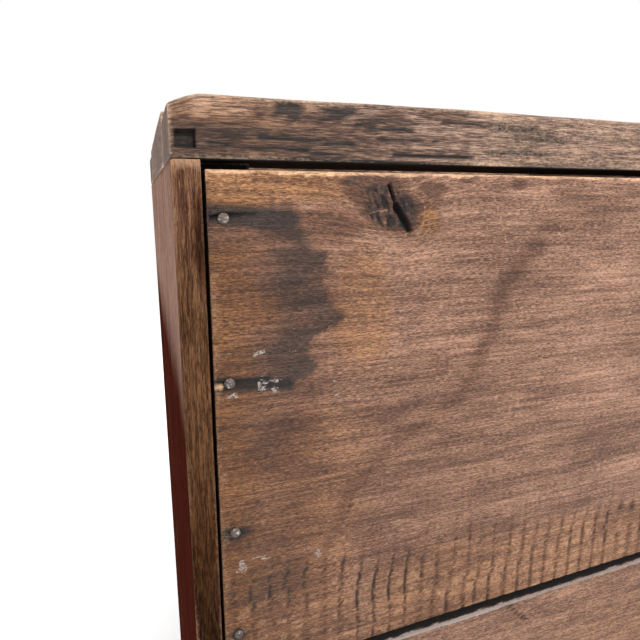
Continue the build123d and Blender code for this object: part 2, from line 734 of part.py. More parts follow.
band_edge = hub_length / 2 - 3
band_seat = hub_end_radius + 2
with BuildPart() as hub:
    with BuildSketch(turning):
        with BuildLine():
            half = hub_length / 2
            Polyline((-half, 0), (-half, hub_end_radius), (-band_edge, band_seat))
            Line((-band_edge, band_seat), (-band_edge + band_width, band_seat))
            Polyline((-band_edge + band_width, band_seat), (-hub_waist / 2 - 6, hub_radius - 3),
                     (-hub_waist / 2, hub_radius), (hub_waist / 2, hub_radius),
                     (hub_waist / 2 + 6, hub_radius - 3), (band_edge - band_width, band_seat))
            Line((band_edge - band_width, band_seat), (band_edge, band_seat))
            Polyline((band_edge, band_seat), (half, hub_end_radius), (half, 0), (-half, 0))
        make_face()
    revolve(axis=Axis((0, axle_y, axle_height), (1, 0, 0)))
    with BuildSketch(axis_plane.offset(-hub_length / 2)):
        Circle(axle_radius + fastener_gap)
    extrude(amount=hub_length, mode=Mode.SUBTRACT)
    for number in range(spoke_count):
        with BuildSketch(spoke_plane(number, mortise_floor)):
            Rectangle(foot_tenon_depth + 2 * joint_gap, foot_tenon_width + 2 * joint_gap)
        extrude(amount=foot_tenon_length + 2, mode=Mode.SUBTRACT)
keep("hub", hub)

with BuildPart() as hub_bands:
    for start in (-band_edge, band_edge - band_width):
        with BuildSketch(axis_plane.offset(start)):
            Circle(band_seat + joint_gap + band_thickness)
            Circle(band_seat + joint_gap, mode=Mode.SUBTRACT)
        extrude(amount=band_width)
keep("hub_bands", hub_bands)

spoke_seat = hub_radius + 0.5
for number in range(spoke_count):
    with BuildPart() as spoke:
        with BuildSketch(spoke_plane(number, mortise_floor + joint_gap)):
            Rectangle(foot_tenon_depth, foot_tenon_width)
        extrude(amount=spoke_seat - mortise_floor)
        with BuildSketch(spoke_plane(number, spoke_seat)):
            RectangleRounded(spoke_depth, spoke_width, 3)
        with BuildSketch(spoke_plane(number, felloe_inner - 1)):
            RectangleRounded(spoke_depth - 4, spoke_neck + 2, 3)
        loft()
        with BuildSketch(spoke_plane(number, felloe_inner - 2)):
            Circle(tongue_radius)
        extrude(amount=tongue_length + 1)
    keep(f"spoke_{number + 1}", spoke)

dowel_ring = (felloe_outer + felloe_inner) / 2
joint_angles = [felloe_pitch * (i + 0.5) for i in range(felloe_count)]
tyre_nail_offset = degrees((dowel_length / 2 + tyre_nail_gap) / felloe_outer)
tyre_nail_angles = [
    a + off for a in joint_angles for off in (-tyre_nail_offset, tyre_nail_offset, felloe_pitch / 2)
]


def ring_plane(angle_deg, radius):
    """Plane whose normal points outward from the axle at an angle and radius."""
    angle = radians(angle_deg)
    outward = Vector(0, cos(angle), sin(angle))
    place = Vector(0, axle_y, axle_height) + outward * radius
    return Plane(origin=place, x_dir=(1, 0, 0), z_dir=outward)


def tangent_plane(angle_deg, radius, back):
    """Plane square to the rim at an angle, set back along the rim, normal along the rim."""
    angle = radians(angle_deg)
    outward = Vector(0, cos(angle), sin(angle))
    forward = Vector(0, -sin(angle), cos(angle))
    place = Vector(0, axle_y, axle_height) + outward * radius - forward * back
    return Plane(origin=place, x_dir=(1, 0, 0), z_dir=forward)


joint_half_angle = degrees(seat_gap / 2 / felloe_inner)
for number in range(felloe_count):
    first = felloe_pitch * (number - 0.5) + joint_half_angle
    sweep_angle = felloe_pitch - 2 * joint_half_angle
    last = first + sweep_angle
    with BuildPart() as felloe:
        with BuildSketch(axis_plane.offset(-tyre_width / 2)):
            with BuildLine():
                outer = CenterArc((0, 0), felloe_outer, first, sweep_angle)
                inner = CenterArc((0, 0), felloe_inner, first, sweep_angle)
                Line(outer @ 0, inner @ 0)
                Line(outer @ 1, inner @ 1)
            make_face()
        extrude(amount=tyre_width)
        for spoke_number in range(spoke_count):
            angle = spoke_pitch * (spoke_number + 0.5)
            if first < angle < last or first < angle - 360 < last:
                with BuildSketch(spoke_plane(spoke_number, felloe_inner - 5)):
                    Circle(tongue_radius + joint_gap)
                extrude(amount=tongue_length + 6, mode=Mode.SUBTRACT)
        for angle in (first - joint_half_angle, last + joint_half_angle):
            with BuildSketch(tangent_plane(angle, dowel_ring, dowel_length / 2 + 0.5)):
                Circle(dowel_radius + joint_gap)
            extrude(amount=dowel_length + 1, mode=Mode.SUBTRACT)
        for angle in tyre_nail_angles:
            if first < angle < last or first < angle - 360 < last:
                with BuildSketch(ring_plane(angle, felloe_outer + 1)):
                    Circle(brad_radius + fastener_gap)
                extrude(amount=-30, mode=Mode.SUBTRACT)
    keep(f"felloe_{number + 1}", felloe)

with BuildPart() as dowels:
    for angle in joint_angles:
        with BuildSketch(tangent_plane(angle, dowel_ring, dowel_length / 2)):
            Circle(dowel_radius)
        extrude(amount=dowel_length)
keep("felloe_dowels", dowels)

with BuildPart() as tyre:
    with BuildSketch(axis_plane.offset(-tyre_width / 2)):
        Circle(wheel_radius)
        Circle(wheel_radius - tyre_thickness, mode=Mode.SUBTRACT)
    extrude(amount=tyre_width)
    for angle in tyre_nail_angles:
        with BuildSketch(ring_plane(angle, wheel_radius - tyre_thickness - 1)):
            Circle(brad_radius + fastener_gap)
        extrude(amount=tyre_thickness + 2, mode=Mode.SUBTRACT)
keep("tyre", tyre)

with BuildPart() as tyre_nails:
    for angle in tyre_nail_angles:
        with BuildSketch(ring_plane(angle, wheel_radius - 0.5)):
            Circle(brad_radius)
        extrude(amount=-30)
keep("tyre_nails", tyre_nails)

# ---- axle, washers and linch pins turn with the wheel ----
with BuildPart() as axle:
    with BuildSketch(axis_plane.offset(-axle_half)):
        Circle(axle_radius)
    extrude(amount=2 * axle_half)
    for side in sides.values():
        with BuildSketch(Plane.XY.offset(axle_height)):
            with Locations((side * linch_x, axle_y)):
                Circle(linch_radius + fastener_gap)
        extrude(amount=axle_radius + 1, both=True, mode=Mode.SUBTRACT)
keep("axle", axle)

with BuildPart() as washers:
    inner_at = hub_length / 2 + side_play
    outer_at = bearing_outer + side_play
    for start in (-outer_at - washer_thickness, -inner_at - washer_thickness, inner_at, outer_at):
        with BuildSketch(axis_plane.offset(start)):
            Circle(washer_radius)
            Circle(axle_radius + joint_gap, mode=Mode.SUBTRACT)
        extrude(amount=washer_thickness)
keep("axle_washers", washers)

with BuildPart() as linch_pins:
    for side in sides.values():
        with BuildSketch(Plane.XY.offset(axle_height - linch_length / 2)):
            with Locations((side * linch_x, axle_y)):
                Circle(linch_radius)
        extrude(amount=linch_length)
        with BuildSketch(Plane.XY.offset(axle_height + linch_length / 2)):
            with Locations((side * linch_x, axle_y)):
                Circle(linch_radius + 1.5)
        extrude(amount=2)
keep("linch_pins", linch_pins)

for name, piece in pieces.items():
    export_step(piece.part, f"parts/{name}.step")
print(len(pieces), "sub-parts;", "box rear", round(box_rear, 3), "axle", round(axle_y, 3))
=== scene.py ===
# %% [markdown]
# A wooden box wheelbarrow, old and dry. Its box is nailed from wide boards, the two side walls are
# upright planks oiled red on the outside, and the rest is bare wood and forged iron. The frame
# packed from the CAD holds every size, so this script starts by loading it. Each timber is then
# made again as a surface with worn arrises and sunk grain, and every finish is a node material.

# %% Load the frame
import math
import bpy
import numpy as np
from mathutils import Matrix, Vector


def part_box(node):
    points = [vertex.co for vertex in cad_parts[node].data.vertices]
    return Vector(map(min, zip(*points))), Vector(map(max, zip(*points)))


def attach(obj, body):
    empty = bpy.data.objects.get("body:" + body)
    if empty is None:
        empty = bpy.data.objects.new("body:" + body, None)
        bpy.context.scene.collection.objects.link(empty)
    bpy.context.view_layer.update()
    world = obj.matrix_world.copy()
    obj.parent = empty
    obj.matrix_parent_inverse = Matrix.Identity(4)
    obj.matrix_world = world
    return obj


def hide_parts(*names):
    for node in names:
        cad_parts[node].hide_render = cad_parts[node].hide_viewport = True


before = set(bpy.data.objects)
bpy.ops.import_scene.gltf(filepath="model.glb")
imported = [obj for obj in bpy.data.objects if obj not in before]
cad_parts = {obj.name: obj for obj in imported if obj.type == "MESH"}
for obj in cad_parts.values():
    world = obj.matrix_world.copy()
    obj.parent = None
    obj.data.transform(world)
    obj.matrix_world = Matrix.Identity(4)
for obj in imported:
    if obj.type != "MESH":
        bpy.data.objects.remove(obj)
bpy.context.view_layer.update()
MM = 0.001


def node_box(node):
    """Lowest and highest corner of a CAD node, in metres, as two arrays."""
    low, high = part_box(node)
    return np.array(low), np.array(high)


rail_low, rail_high = node_box("rim_rear")
panel_low, panel_high = node_box("rear_panel")

# %% [markdown]
# The barrow is seen from close by, a hand's breadth in front of the rear wall's upper left corner,
# looking a little down and to the right. A camera can be aimed by eye or with a tracking
# constraint. Here its distance is one number and its place is worked from the corner of the rim, so
# that the view follows the frame if a size changes.

# %% Camera
reach, LENS_MM, DOWN, TURNED = 0.277, 29.99, 12.17, 18.53
lens = bpy.data.cameras.new("camera")
lens.lens, lens.sensor_width, lens.clip_start = LENS_MM, 36, 0.01
camera = bpy.data.objects.new("camera", lens)
camera.location = (rail_low[0] - 0.0583 * reach, rail_low[1] - reach, rail_high[2] - 0.1924 * reach)
camera.rotation_euler = (math.radians(90 - DOWN), 0, math.radians(-TURNED))
bpy.context.collection.objects.link(camera)
bpy.context.scene.camera = camera
print("camera", [round(v, 4) for v in camera.location])

# %% [markdown]
# Old wood is never even. Everything below that looks random comes from one smooth noise, made as
# whole arrays: random numbers sit on the corners of small cubes and are blended inside each cube.
# Stretching the cubes along the grain gives fibres, and large cubes give stains and hollows.

# %% Smooth noise
def noise(points, size, seed):
    """Random corner values of cubes `size` metres wide, blended with 3t^2 - 2t^3: from -1 to 1."""
    q = points / np.asarray(size, float) + 512.5
    low = np.floor(q).astype(np.int64)
    t = q - low
    t = t * t * (3 - 2 * t)
    total = np.zeros(len(points))
    for corner in np.ndindex(2, 2, 2):
        c = low + corner
        h = c[:, 0] * 374761393 + c[:, 1] * 668265263 + c[:, 2] * 2147483647 + seed * 1274126177
        h = (h ^ (h >> 13)) * 1103515245 & 0xFFFFFFFF
        h = (h ^ (h >> 16)) & 0xFFFF
        total += np.prod(np.where(corner, t, 1 - t), axis=1) * (h / 32767.5 - 1)
    return total


def ease(x, start, end):
    """0 before start, 1 after end, and 3t^2 - 2t^3 between them."""
    t = np.clip((x - start) / (end - start), 0, 1)
    return t * t * (3 - 2 * t)


def most(first, *more):
    """The greatest of several arrays, point by point."""
    for layer in more:
        first = np.maximum(first, layer)
    return first


print("noise", noise(np.random.default_rng(1).random((9, 3)), 0.2, 3).round(2))

# %% [markdown]
# Every timber starts as the skin of a squared block. A cube with a bevel could stand for it, but
# wear needs many small faces, closest together at the arrises where a block loses its wood. So the
# block is a three-way grid of lines, unevenly spaced, and only its outer points are kept.

# %% The skin of a squared block
def lines(length, step, edge):
    """Places of the grid lines: about `step` apart inside, and three close ones at each end."""
    inside = np.linspace(edge, length - edge, max(2, round((length - 2 * edge) / step) + 1))
    near = np.array([0, 0.35, 0.7]) * edge
    return np.unique(np.round(np.concatenate([near, inside, length - near]), 7))


def skin(us, vs, ws):
    """Outer points of the grid and the squares between them, wound so that they face outwards."""
    index = np.zeros((len(us), len(vs), len(ws)), int)
    outer = np.ones(index.shape, bool)
    outer[1:-1, 1:-1, 1:-1] = False
    index[outer] = np.arange(outer.sum())
    points = np.stack(np.meshgrid(us, vs, ws, indexing="ij"), -1)[outer]
    sheets = [index[-1], index[0].T, index[:, 0], index[:, -1].T, index[:, :, -1], index[:, :, 0].T]
    quads = [
        np.stack([s[:-1, :-1], s[1:, :-1], s[1:, 1:], s[:-1, 1:]], -1).reshape(-1, 4) for s in sheets
    ]
    return points, np.concatenate(quads)


def eased(points, size, radius):
    """Rounds the arrises: each point moves to `radius` from the nearest point of a smaller block.

    Gives the new points and the direction in which the skin faces there.
    """
    radius = np.minimum(radius, 0.45 * np.min(size))[:, None]
    core = np.clip(points, radius, np.asarray(size) - radius)
    off = points - core
    length = np.maximum(np.linalg.norm(off, axis=1, keepdims=True), 1e-9)
    return core + off / length * radius, off / length


print("skin of a 3 x 3 x 3 grid:", [len(v) for v in skin(*[np.arange(3)] * 3)])

# %% [markdown]
# The finishes need to know where they are on a timber: how far along its grain, how near a worn
# arris, whether on an end that was sawn across, and where stain, paint or age has changed it. That
# could be painted by hand. Here it is worked out for every point of the mesh and stored in three
# attributes that the node materials read: `grain`, `marks` and `tone`.

# %% Put a surface into a mesh
def settle(name, points, quads, grain, marks, tone, material, slot, body="barrow"):
    """Makes the object, with its place in its mesh, and hands it to its body and its material; `slot`
    is not used.
    """
    mesh = bpy.data.meshes.new(name)
    mesh.from_pydata(points.tolist(), [], quads.tolist())
    for label, kind, key, values in (
        ("grain", "FLOAT_VECTOR", "vector", grain),
        ("marks", "FLOAT_COLOR", "color", marks),
        ("tone", "FLOAT", "value", tone),
    ):
        layer = mesh.attributes.new(label, kind, "POINT")
        layer.data.foreach_set(key, np.ascontiguousarray(values, np.float32).ravel())
    mesh.polygons.foreach_set("use_smooth", np.ones(len(mesh.polygons), bool))
    mesh.materials.append(material)
    piece = bpy.data.objects.new(name, mesh)
    bpy.context.collection.objects.link(piece)
    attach(piece, body)
    return piece


print("CAD nodes to cover", len(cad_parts))

# %% [markdown]
# A timber is worn before it is placed. While it still lies along its own three axes, noise rounds
# its arrises, sinks its grain a few tenths of a millimetre, and says where it is rubbed or stained.
# A displacement texture could do part of that, but its edges and its wear would not agree. Only then
# is the block carried, or bent, into its place in the barrow.

# %% One timber
# the stain column holds real stains and also painted shade in gaps, corners and recesses; the rubbed
# column also holds painted highlights
WEAR_AND_HIGHLIGHT, STAIN_AND_SHADE, COAT = 0, 2, 3    # columns of the marks; 1 is how much a point is on a sawn end
made = []


def darken(marks, stain):
    """Makes the stain at least this strong; it also lays painted shade into gaps and corners."""
    marks[:, STAIN_AND_SHADE] = np.maximum(marks[:, STAIN_AND_SHADE], stain)


def timber(name, nodes, size, place, look, seed, cell=(12, 4, 4), edge=2.5, wear=1.0, soil=0.4,
           grid=None, detail=None, flow=None, body="barrow"):
    """A block of length x width x thickness, its grain along the first, carried to its place.

    The arris radius is 1 to 3 mm times `wear`, changed by noise. The skin sinks by up to 0.3 mm
    where the grain noise is low. `detail` may sink the skin, mark it or move it further, `flow`
    bends the grain pattern, and `place` carries the finished points into the barrow.
    """
    size = np.asarray(size, float)
    grid = grid or [lines(s, c * MM, edge * MM) for s, c in zip(size, cell)]
    flat, quads = skin(*grid)
    shift = np.array([seed * 0.731, seed * 0.217, seed * 0.153])
    here = flat + shift
    nicks = np.clip(noise(here, (0.05, 0.02, 0.02), seed), 0, 1) ** 2
    radius = (1.0 + 0.7 * noise(here, (0.09, 0.04, 0.04), seed + 1) + 2.2 * nicks) * wear * MM
    points, faces = eased(flat, size, np.maximum(radius, 0.3 * MM))
    relief = 0.16 + 0.1 * noise(here, (0.14, 0.007, 0.007), seed + 2)
    relief = relief + 0.06 * noise(here, (0.05, 0.0025, 0.0025), seed + 3)
    near = np.sort(np.minimum(flat, size - flat), axis=1)[:, 1] / MM
    rubbed = np.exp(-near / (2.2 * wear + 0.3)) * (0.55 + 0.45 * noise(here, 0.03, seed + 4))
    ends = (np.abs(faces[:, 0]) > 0.7).astype(float)
    stain = soil * ease(noise(here, (0.16, 0.05, 0.05), seed + 5), -0.1, 0.9)
    stain = stain + 0.5 * ends
    marks = np.stack([rubbed, ends, stain, np.zeros(len(flat))], axis=1)
    tone = 0.5 + 0.5 * noise(here, (0.22, 0.07, 0.07), seed + 6)
    sunk = relief * MM
    if detail:
        sunk, points = detail(flat, faces, sunk, points, marks, tone)
    points = place(points - faces * sunk[:, None])
    here = here + flow(flat) if flow else here
    finish, slot = look
    piece = settle(name, points, quads, here, np.clip(marks, 0, 1), np.clip(tone, 0, 1),
                   finish, slot, body)
    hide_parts(*nodes)
    made.append(2 * len(quads))
    return piece


print("grid lines along 500 mm:", len(lines(500 * MM, 12 * MM, 2.5 * MM)))

# %% [markdown]
# A shader needs many nodes, and each one needs to be made, set and wired. One small function does
# that for every kind of node, so that a material below reads as a list of what it does. Colours are
# written as the sRGB values that a colour chart gives, and turned to linear light in one place.

# %% Colours and nodes
def paint(code):
    """An sRGB hex colour as linear red, green, blue and 1."""
    parts = [int(code[i:i + 2], 16) / 255 for i in (1, 3, 5)]
    return [p / 12.92 if p <= 0.04045 else ((p + 0.055) / 1.055) ** 2.4 for p in parts] + [1]


def add(tree, kind, links=None, stops=None, **settings):
    """Adds a node: settings are its own options, links its sockets' values or where they come from,
    and stops a ramp's places and colours."""
    node = tree.nodes.new(kind)
    for key, value in settings.items():
        setattr(node, key, value)
    for key, value in (links or {}).items():
        if isinstance(value, bpy.types.NodeSocket):
            tree.links.new(value, node.inputs[key])
        else:
            node.inputs[key].default_value = value
    if stops:
        band = node.color_ramp.elements
        while len(band) < len(stops):
            band.new(1)
        for element, (place, shade) in zip(band, stops):
            element.position, element.color = place, shade
    return node


def blank(name):
    """A new material with only its shader and output, and its node tree."""
    material = bpy.data.materials.new(name)
    material.use_nodes = True
    tree = material.node_tree
    tree.nodes.clear()
    shader = add(tree, "ShaderNodeBsdfPrincipled")
    add(tree, "ShaderNodeOutputMaterial", {"Surface": shader.outputs[0]})
    return material, tree, shader


def mix(tree, share, under, over, blend="MIX"):
    """Colour `over` laid on `under` by a share of 0 to 1."""
    return add(tree, "ShaderNodeMix", {0: share, 6: under, 7: over}, data_type="RGBA",
               blend_type=blend).outputs[2]


def maths(tree, operation, a, b, c=0.0):
    """The operation on a and b, and on c where it takes three."""
    return add(tree, "ShaderNodeMath", {0: a, 1: b, 2: c}, operation=operation).outputs[0]


def rescale(tree, value, low, high, to_low=0.0, to_high=1.0):
    """Carries values from low..high to to_low..to_high, and holds them there beyond the ends."""
    return add(tree, "ShaderNodeMapRange", {"Value": value, "From Min": low, "From Max": high,
                                            "To Min": to_low, "To Max": to_high}).outputs[0]


def ramp(tree, value, places, codes):
    """Colours at places from 0 to 1, blended between them."""
    stops = [(place, paint(code)) for place, code in zip(places, codes)]
    return add(tree, "ShaderNodeValToRGB", {"Fac": value}, stops=stops).outputs[0]


print("middle grey", round(paint("#808080")[0], 3))

# %% [markdown]
# Bare old softwood and hardwood look different close to: pine shows wide soft bands between hard
# dark ones, ash long open pores, elm a wild figure. The barrow's woods are all the same nodes with
# other sizes and colours. Fibres are noise stretched along the grain, pores are a finer noise cut
# off at a height, and wider streaks carry the change of colour from band to band. The bump follows
# fibres and pores, and the roughness is high, about 0.7, because nothing seals the wood. Iron and
# wet have left the stain, and the same darkening also lays painted shade into gaps, corners and
# recesses.

# %% A wood finish
SPREAD = (0.436, 0.5, 0.568)    # the blended noise hardly leaves this range


def wood(name, shades, golden, fibre=1.1, pore=0.6, streak=8, run=5, rough=0.66, rise=0.8, red=None):
    """Shades run dark, middle, light, worn. Fibre, pore and streak are their widths in mm, `run` is
    how many times as long as wide a fibre is; the others are 9 to 22 times."""
    material, tree, shader = blank(name)
    grain = add(tree, "ShaderNodeAttribute", attribute_name="grain").outputs["Vector"]
    marks = add(tree, "ShaderNodeAttribute", attribute_name="marks")
    coat_left = marks.outputs["Alpha"]
    tone = add(tree, "ShaderNodeAttribute", attribute_name="tone").outputs["Fac"]
    split = add(tree, "ShaderNodeSeparateColor", {"Color": marks.outputs["Color"]})
    rubbed, end, stain = split.outputs[0], split.outputs[1], split.outputs[2]
    fields = {}
    for label, width, length, depth, seed in (
        ("fibre", fibre, run, 6, 0.0), ("strand", 2.4 * fibre, 22, 4, 5.0), ("pore", pore, 9, 2, 3.0),
        ("streak", streak, 16, 3, 7.0), ("patch", 26, 2, 3, 11.0), ("speck", 1.3, 1.6, 3, 19.0),
    ):
        spread = (1000 / (width * length), 1000 / width, 1000 / width)
        stretched = add(tree, "ShaderNodeMapping", {"Vector": grain, "Location": (seed, seed, 0),
                                                    "Scale": spread})
        fields[label] = add(tree, "ShaderNodeTexNoise", {
            "Vector": stretched.outputs[0], "Scale": 1, "Detail": depth, "Roughness": 0.72,
        }).outputs["Fac"]
    blend = 0.0
    for label, share in (("fibre", 0.5), ("strand", 0.24), ("streak", 0.14), ("patch", 0.12)):
        blend = maths(tree, "MULTIPLY_ADD", fields[label], share, blend)
    colour = mix(tree, tone, ramp(tree, blend, SPREAD, shades), ramp(tree, blend, SPREAD, golden))
    # stain darkens towards blue-black, for real stains and for painted shade alike
    veil = ramp(tree, stain, (0.0, 0.4, 0.66, 0.86, 0.95, 1.0),
                ("#ffffff", "#c6bab0", "#a09a97", "#646a74", "#393c40", "#17181a"))
    colour = mix(tree, 1.0, colour, veil, "MULTIPLY")
    # sawn ends drink in the dirt, worn arrises and painted highlights are pale, pores are dark
    colour = mix(tree, maths(tree, "MULTIPLY", end, 0.45), colour, paint("#4a382d"))
    pale = rescale(tree, maths(tree, "MULTIPLY", rubbed, fields["speck"]), 0.12, 0.42, 0.0, 0.85)
    colour = mix(tree, pale, colour, paint(shades[3]))
    open_pore = rescale(tree, fields["pore"], 0.58, 0.66, 0.0, 0.6)
    colour = mix(tree, open_pore, colour, paint("#2e211a"))
    dull = rescale(tree, fields["fibre"], 0.3, 0.7, rough + 0.12, rough - 0.1)
    height = maths(tree, "MULTIPLY_ADD", open_pore, -0.6, fields["fibre"])
    if red:
        bare = maths(tree, "ADD", fields["speck"], rubbed)
        cover = maths(tree, "MULTIPLY", rescale(tree, bare, 0.75, 0.95, 1.0, 0.0), coat_left)
        # tone blends the red coat into its pinkish-grey painted reflection near the rim
        coat = mix(tree, tone, ramp(tree, blend, SPREAD, red[:3]), ramp(tree, blend, SPREAD, red[3:]))
        colour = mix(tree, cover, colour, coat)
    else:
        dust = maths(tree, "MULTIPLY", coat_left, fields["speck"])
        colour = mix(tree, rescale(tree, dust, 0.33, 0.41), colour, paint("#8d837d"))
    bump = add(tree, "ShaderNodeBump", {"Height": height, "Strength": rise, "Distance": 1.4 * MM})
    for socket, value in (("Base Color", colour), ("Roughness", dull), ("Normal", bump.outputs[0])):
        tree.links.new(value, shader.inputs[socket])
    shader.inputs["IOR"].default_value = 1.5
    shader.inputs["Specular IOR Level"].default_value = 0.0 if red else 0.3
    return material


print("colours are spread over", SPREAD)

# %% [markdown]
# Six woods differ in colour and in the width of their fibres, pores and streaks. A scanned picture
# of each could be laid on instead, but it would not follow each timber's grain, nor its wear.

# %% The woods of the barrow
# Wide pine boards, dry and pale brown: close fibres and faint pores let the stains on them show.
end_board = wood("aged_wide_pine_board", ("#4a3025", "#725343", "#a07b67", "#d2a782"),
                 ("#4a2e1b", "#744e32", "#a87848"), fibre=0.6, pore=0.45)
# Elm of the rim: long fibres in narrow streaks, handled for years, so its darks are near black.
rim_wood = wood("aged_elm_rim", ("#2c201a", "#665045", "#a08472", "#c6a68c"),
                ("#3b271b", "#6e4c36", "#a87c57"), fibre=0.6, pore=0.8, streak=4, run=12)
# Planks oiled red: the coat lies in the grain and has no gloss, and tells outside from inside.
side_wood = wood("red_oiled_plank", ("#2c1a12", "#46301f", "#63462f", "#93725a"),
                 ("#33201a", "#543a2b", "#75543f"), fibre=0.7, streak=4, run=11,
                 # the last three colours are a pinkish-grey painted reflection, laid on the coat near
                 # the rim
                 red=("#2b0f0a", "#3c1810", "#4c231a", "#664940", "#876a5e", "#a48676"))
# Pine inside the box, never finished: its fibres are drawn coarser than real ones, and yellower.
inner_wood = wood("unfinished_inner_pine", ("#40301f", "#6a5038", "#927355", "#b79a77"),
                  ("#452e1a", "#704f32", "#9c774d"), fibre=1.4, streak=10)
# Ash of the frame, greyed by weather: long fibres and open pores give the shafts strong lines.
frame_wood = wood("weathered_ash_frame", ("#3a2d22", "#615040", "#88745e", "#b39a79"),
                  ("#402c1d", "#684a33", "#906c4b"), fibre=1.1, pore=0.8, streak=9, run=9)
# Oak of the wheel: the widest pores and a darker brown set the wheel off from the frame.
wheel_wood = wood("weathered_wheelwrights_oak", ("#33271f", "#5a4a3b", "#806c57", "#a98f6f"),
                  ("#3a281a", "#5f442f", "#876546"), fibre=1.1, pore=0.9, streak=7, run=9)
LOOK = {
    "end": (end_board, "bare_end_board"), "rim": (rim_wood, "rim_timber"),
    "side": (side_wood, "red_oiled_board"), "inner": (inner_wood, "inner_board"),
    "frame": (frame_wood, "frame_timber"), "wheel": (wheel_wood, "wheel_timber"),
}
print("woods", len(LOOK))

# %% [markdown]
# The iron was forged, so it is not smooth: hammer facets a few millimetres wide catch the light,
# and a brown-black skin of old rust covers it, rubbed to grey on the high spots. It is not mirror
# metal any more. Voronoi cells 7 mm wide give the facets, finer noise the pitting, and where the
# noise is high the rust is thicker, browner and rougher. Object coordinates place it all.

# %% Forged iron
PIT, RUST_PATCH = 1.6, 28    # widths in mm


def iron(name, dark, brown, bright, facet=7):
    """Colour from dark to brown where rust is thick, bright on high spots; `facet` is in mm."""
    material, tree, shader = blank(name)
    where = add(tree, "ShaderNodeTexCoord").outputs["Object"]
    facets = add(tree, "ShaderNodeTexVoronoi", {"Vector": where, "Scale": 1000 / facet},
                 feature="SMOOTH_F1").outputs["Distance"]
    pits = add(tree, "ShaderNodeTexNoise", {"Vector": where, "Scale": 1000 / PIT, "Detail": 5,
                                            "Roughness": 0.65}).outputs["Fac"]
    patch = add(tree, "ShaderNodeTexNoise", {"Vector": where, "Scale": 1000 / RUST_PATCH, "Detail": 4,
                                             "Roughness": 0.6}).outputs["Fac"]
    rust = rescale(tree, patch, 0.42, 0.6)
    base = mix(tree, rust, paint(dark), paint(brown))
    base = mix(tree, rescale(tree, pits, 0.56, 0.7), base, paint(bright))
    dull = rescale(tree, rust, 0.0, 1.0, 0.48, 0.8)
    height = maths(tree, "MULTIPLY_ADD", facets, 1.4, pits)
    bump = add(tree, "ShaderNodeBump", {"Height": height, "Strength": 0.5, "Distance": 0.5 * MM})
    for socket, value in (("Base Color", base), ("Roughness", dull), ("Normal", bump.outputs[0])):
        tree.links.new(value, shader.inputs[socket])
    shader.inputs["Metallic"].default_value = 0.55
    return material


# Straps, bolts, bands and axle: nearly black with brown patches, so they look old and heavy.
forged = iron("rusted_forged_iron", "#2b2725", "#4d3627", "#6f6963")
# The tyre: wider facets and more grey, since the ground has scoured it.
tread = iron("worn_tyre_iron", "#3a3533", "#57402f", "#85807a", facet=11)
# Nail heads of the end walls: small facets with bright high spots, which catch the light singly.
heads = iron("hammered_nail_iron", "#3c3735", "#5a4d46", "#b8b0aa", facet=1.2)
for node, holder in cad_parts.items():
    for surface in holder.material_slots:
        surface.material = {"tyre": tread}.get(node, forged)
print("iron nodes", len(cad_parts))

# %% [markdown]
# Most timbers are straight boards, so their place needs only the corner of their CAD node and the
# axis that the grain follows. Turning x, y, z round in order keeps every face pointing outwards.

# %% Straight boards
TURN = {"x": [0, 1, 2], "y": [1, 2, 0], "z": [2, 0, 1]}


def carry(axis, low):
    """Grain along `axis`, the other two axes next in order, starting from corner `low`."""
    def place(points):
        world = np.empty_like(points)
        world[:, TURN[axis]] = points
        return world + low
    return place


def board(node, axis, look, seed, low=None, high=None, bend=None, **more):
    """A straight board that fills its CAD node's box, or the corners given; bend changes it after."""
    lowest, highest = node_box(node)
    low = lowest if low is None else low
    high = highest if high is None else high
    place = carry(axis, low)
    whole = (lambda points: bend(place(points))) if bend else place
    timber(f"{node}_wood", [node], (high - low)[TURN[axis]], whole, LOOK[look], seed, **more)


def dirt_and_shade_ends(flat, faces, sunk, points, marks, tone):
    """The floor is black along the end walls: partly dirt where no shovel reaches, partly painted shade
    in the box's corners.
    """
    end = np.minimum(flat[:, 0], flat[:, 0].max() - flat[:, 0])
    # dirt and painted shade along the end walls
    darken(marks, 1 - ease(end + 0.01 * noise(flat, 0.02, 14), 0.04, 0.1))
    marks[:, WEAR_AND_HIGHLIGHT] *= ease(end, 0.04, 0.1)
    return sunk, points


for number, node in enumerate(("floor_board_1", "floor_board_2", "floor_board_3")):
    board(node, "y", "inner", 11 + number, soil=0.7, detail=dirt_and_shade_ends)


def painted_shade_top(flat, faces, sunk, points, marks, tone):
    """Darkens the last 30 mm under the rim: painted shade, where the rim keeps the light off."""
    top = flat[:, 0].max()
    # painted shade under the rim
    darken(marks, ease(flat[:, 0], top - 0.03, top - 0.008))
    return sunk, points


for number, node in enumerate(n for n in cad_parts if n.startswith("corner_cleat")):
    board(node, "z", "inner", 21 + number, cell=(10, 3, 3), wear=0.8, detail=painted_shade_top)
print("boards so far", len(made), "triangles", sum(made))

# %% [markdown]
# The marks on the boards follow a few simple shapes: a trail runs along a bent line and has a
# width, a spot is an oval with a ragged edge. Both give 1 inside and 0 outside.

# %% Trails and spots
def trail(x, z, path, width, soft=0.5):
    """1 on a bent line, 0 beyond `width` from it, with the outer `soft` share of it blurred."""
    path = np.asarray(path, float)
    best = np.full(len(x), 1e9)
    for (x0, z0), (x1, z1) in zip(path[:-1], path[1:]):
        dx, dz = x1 - x0, z1 - z0
        t = np.clip(((x - x0) * dx + (z - z0) * dz) / (dx * dx + dz * dz), 0, 1)
        best = np.minimum(best, np.hypot(x - x0 - t * dx, z - z0 - t * dz))
    return 1 - ease(best, width * (1 - soft), width)


def spot(x, z, cx, cz, rx, rz, ragged=0.0):
    """1 in the middle of an oval, 0 outside it, its edge moved by `ragged`."""
    return 1 - ease(np.hypot((x - cx) / rx, (z - cz) / rz) + ragged, 0.55, 1.1)


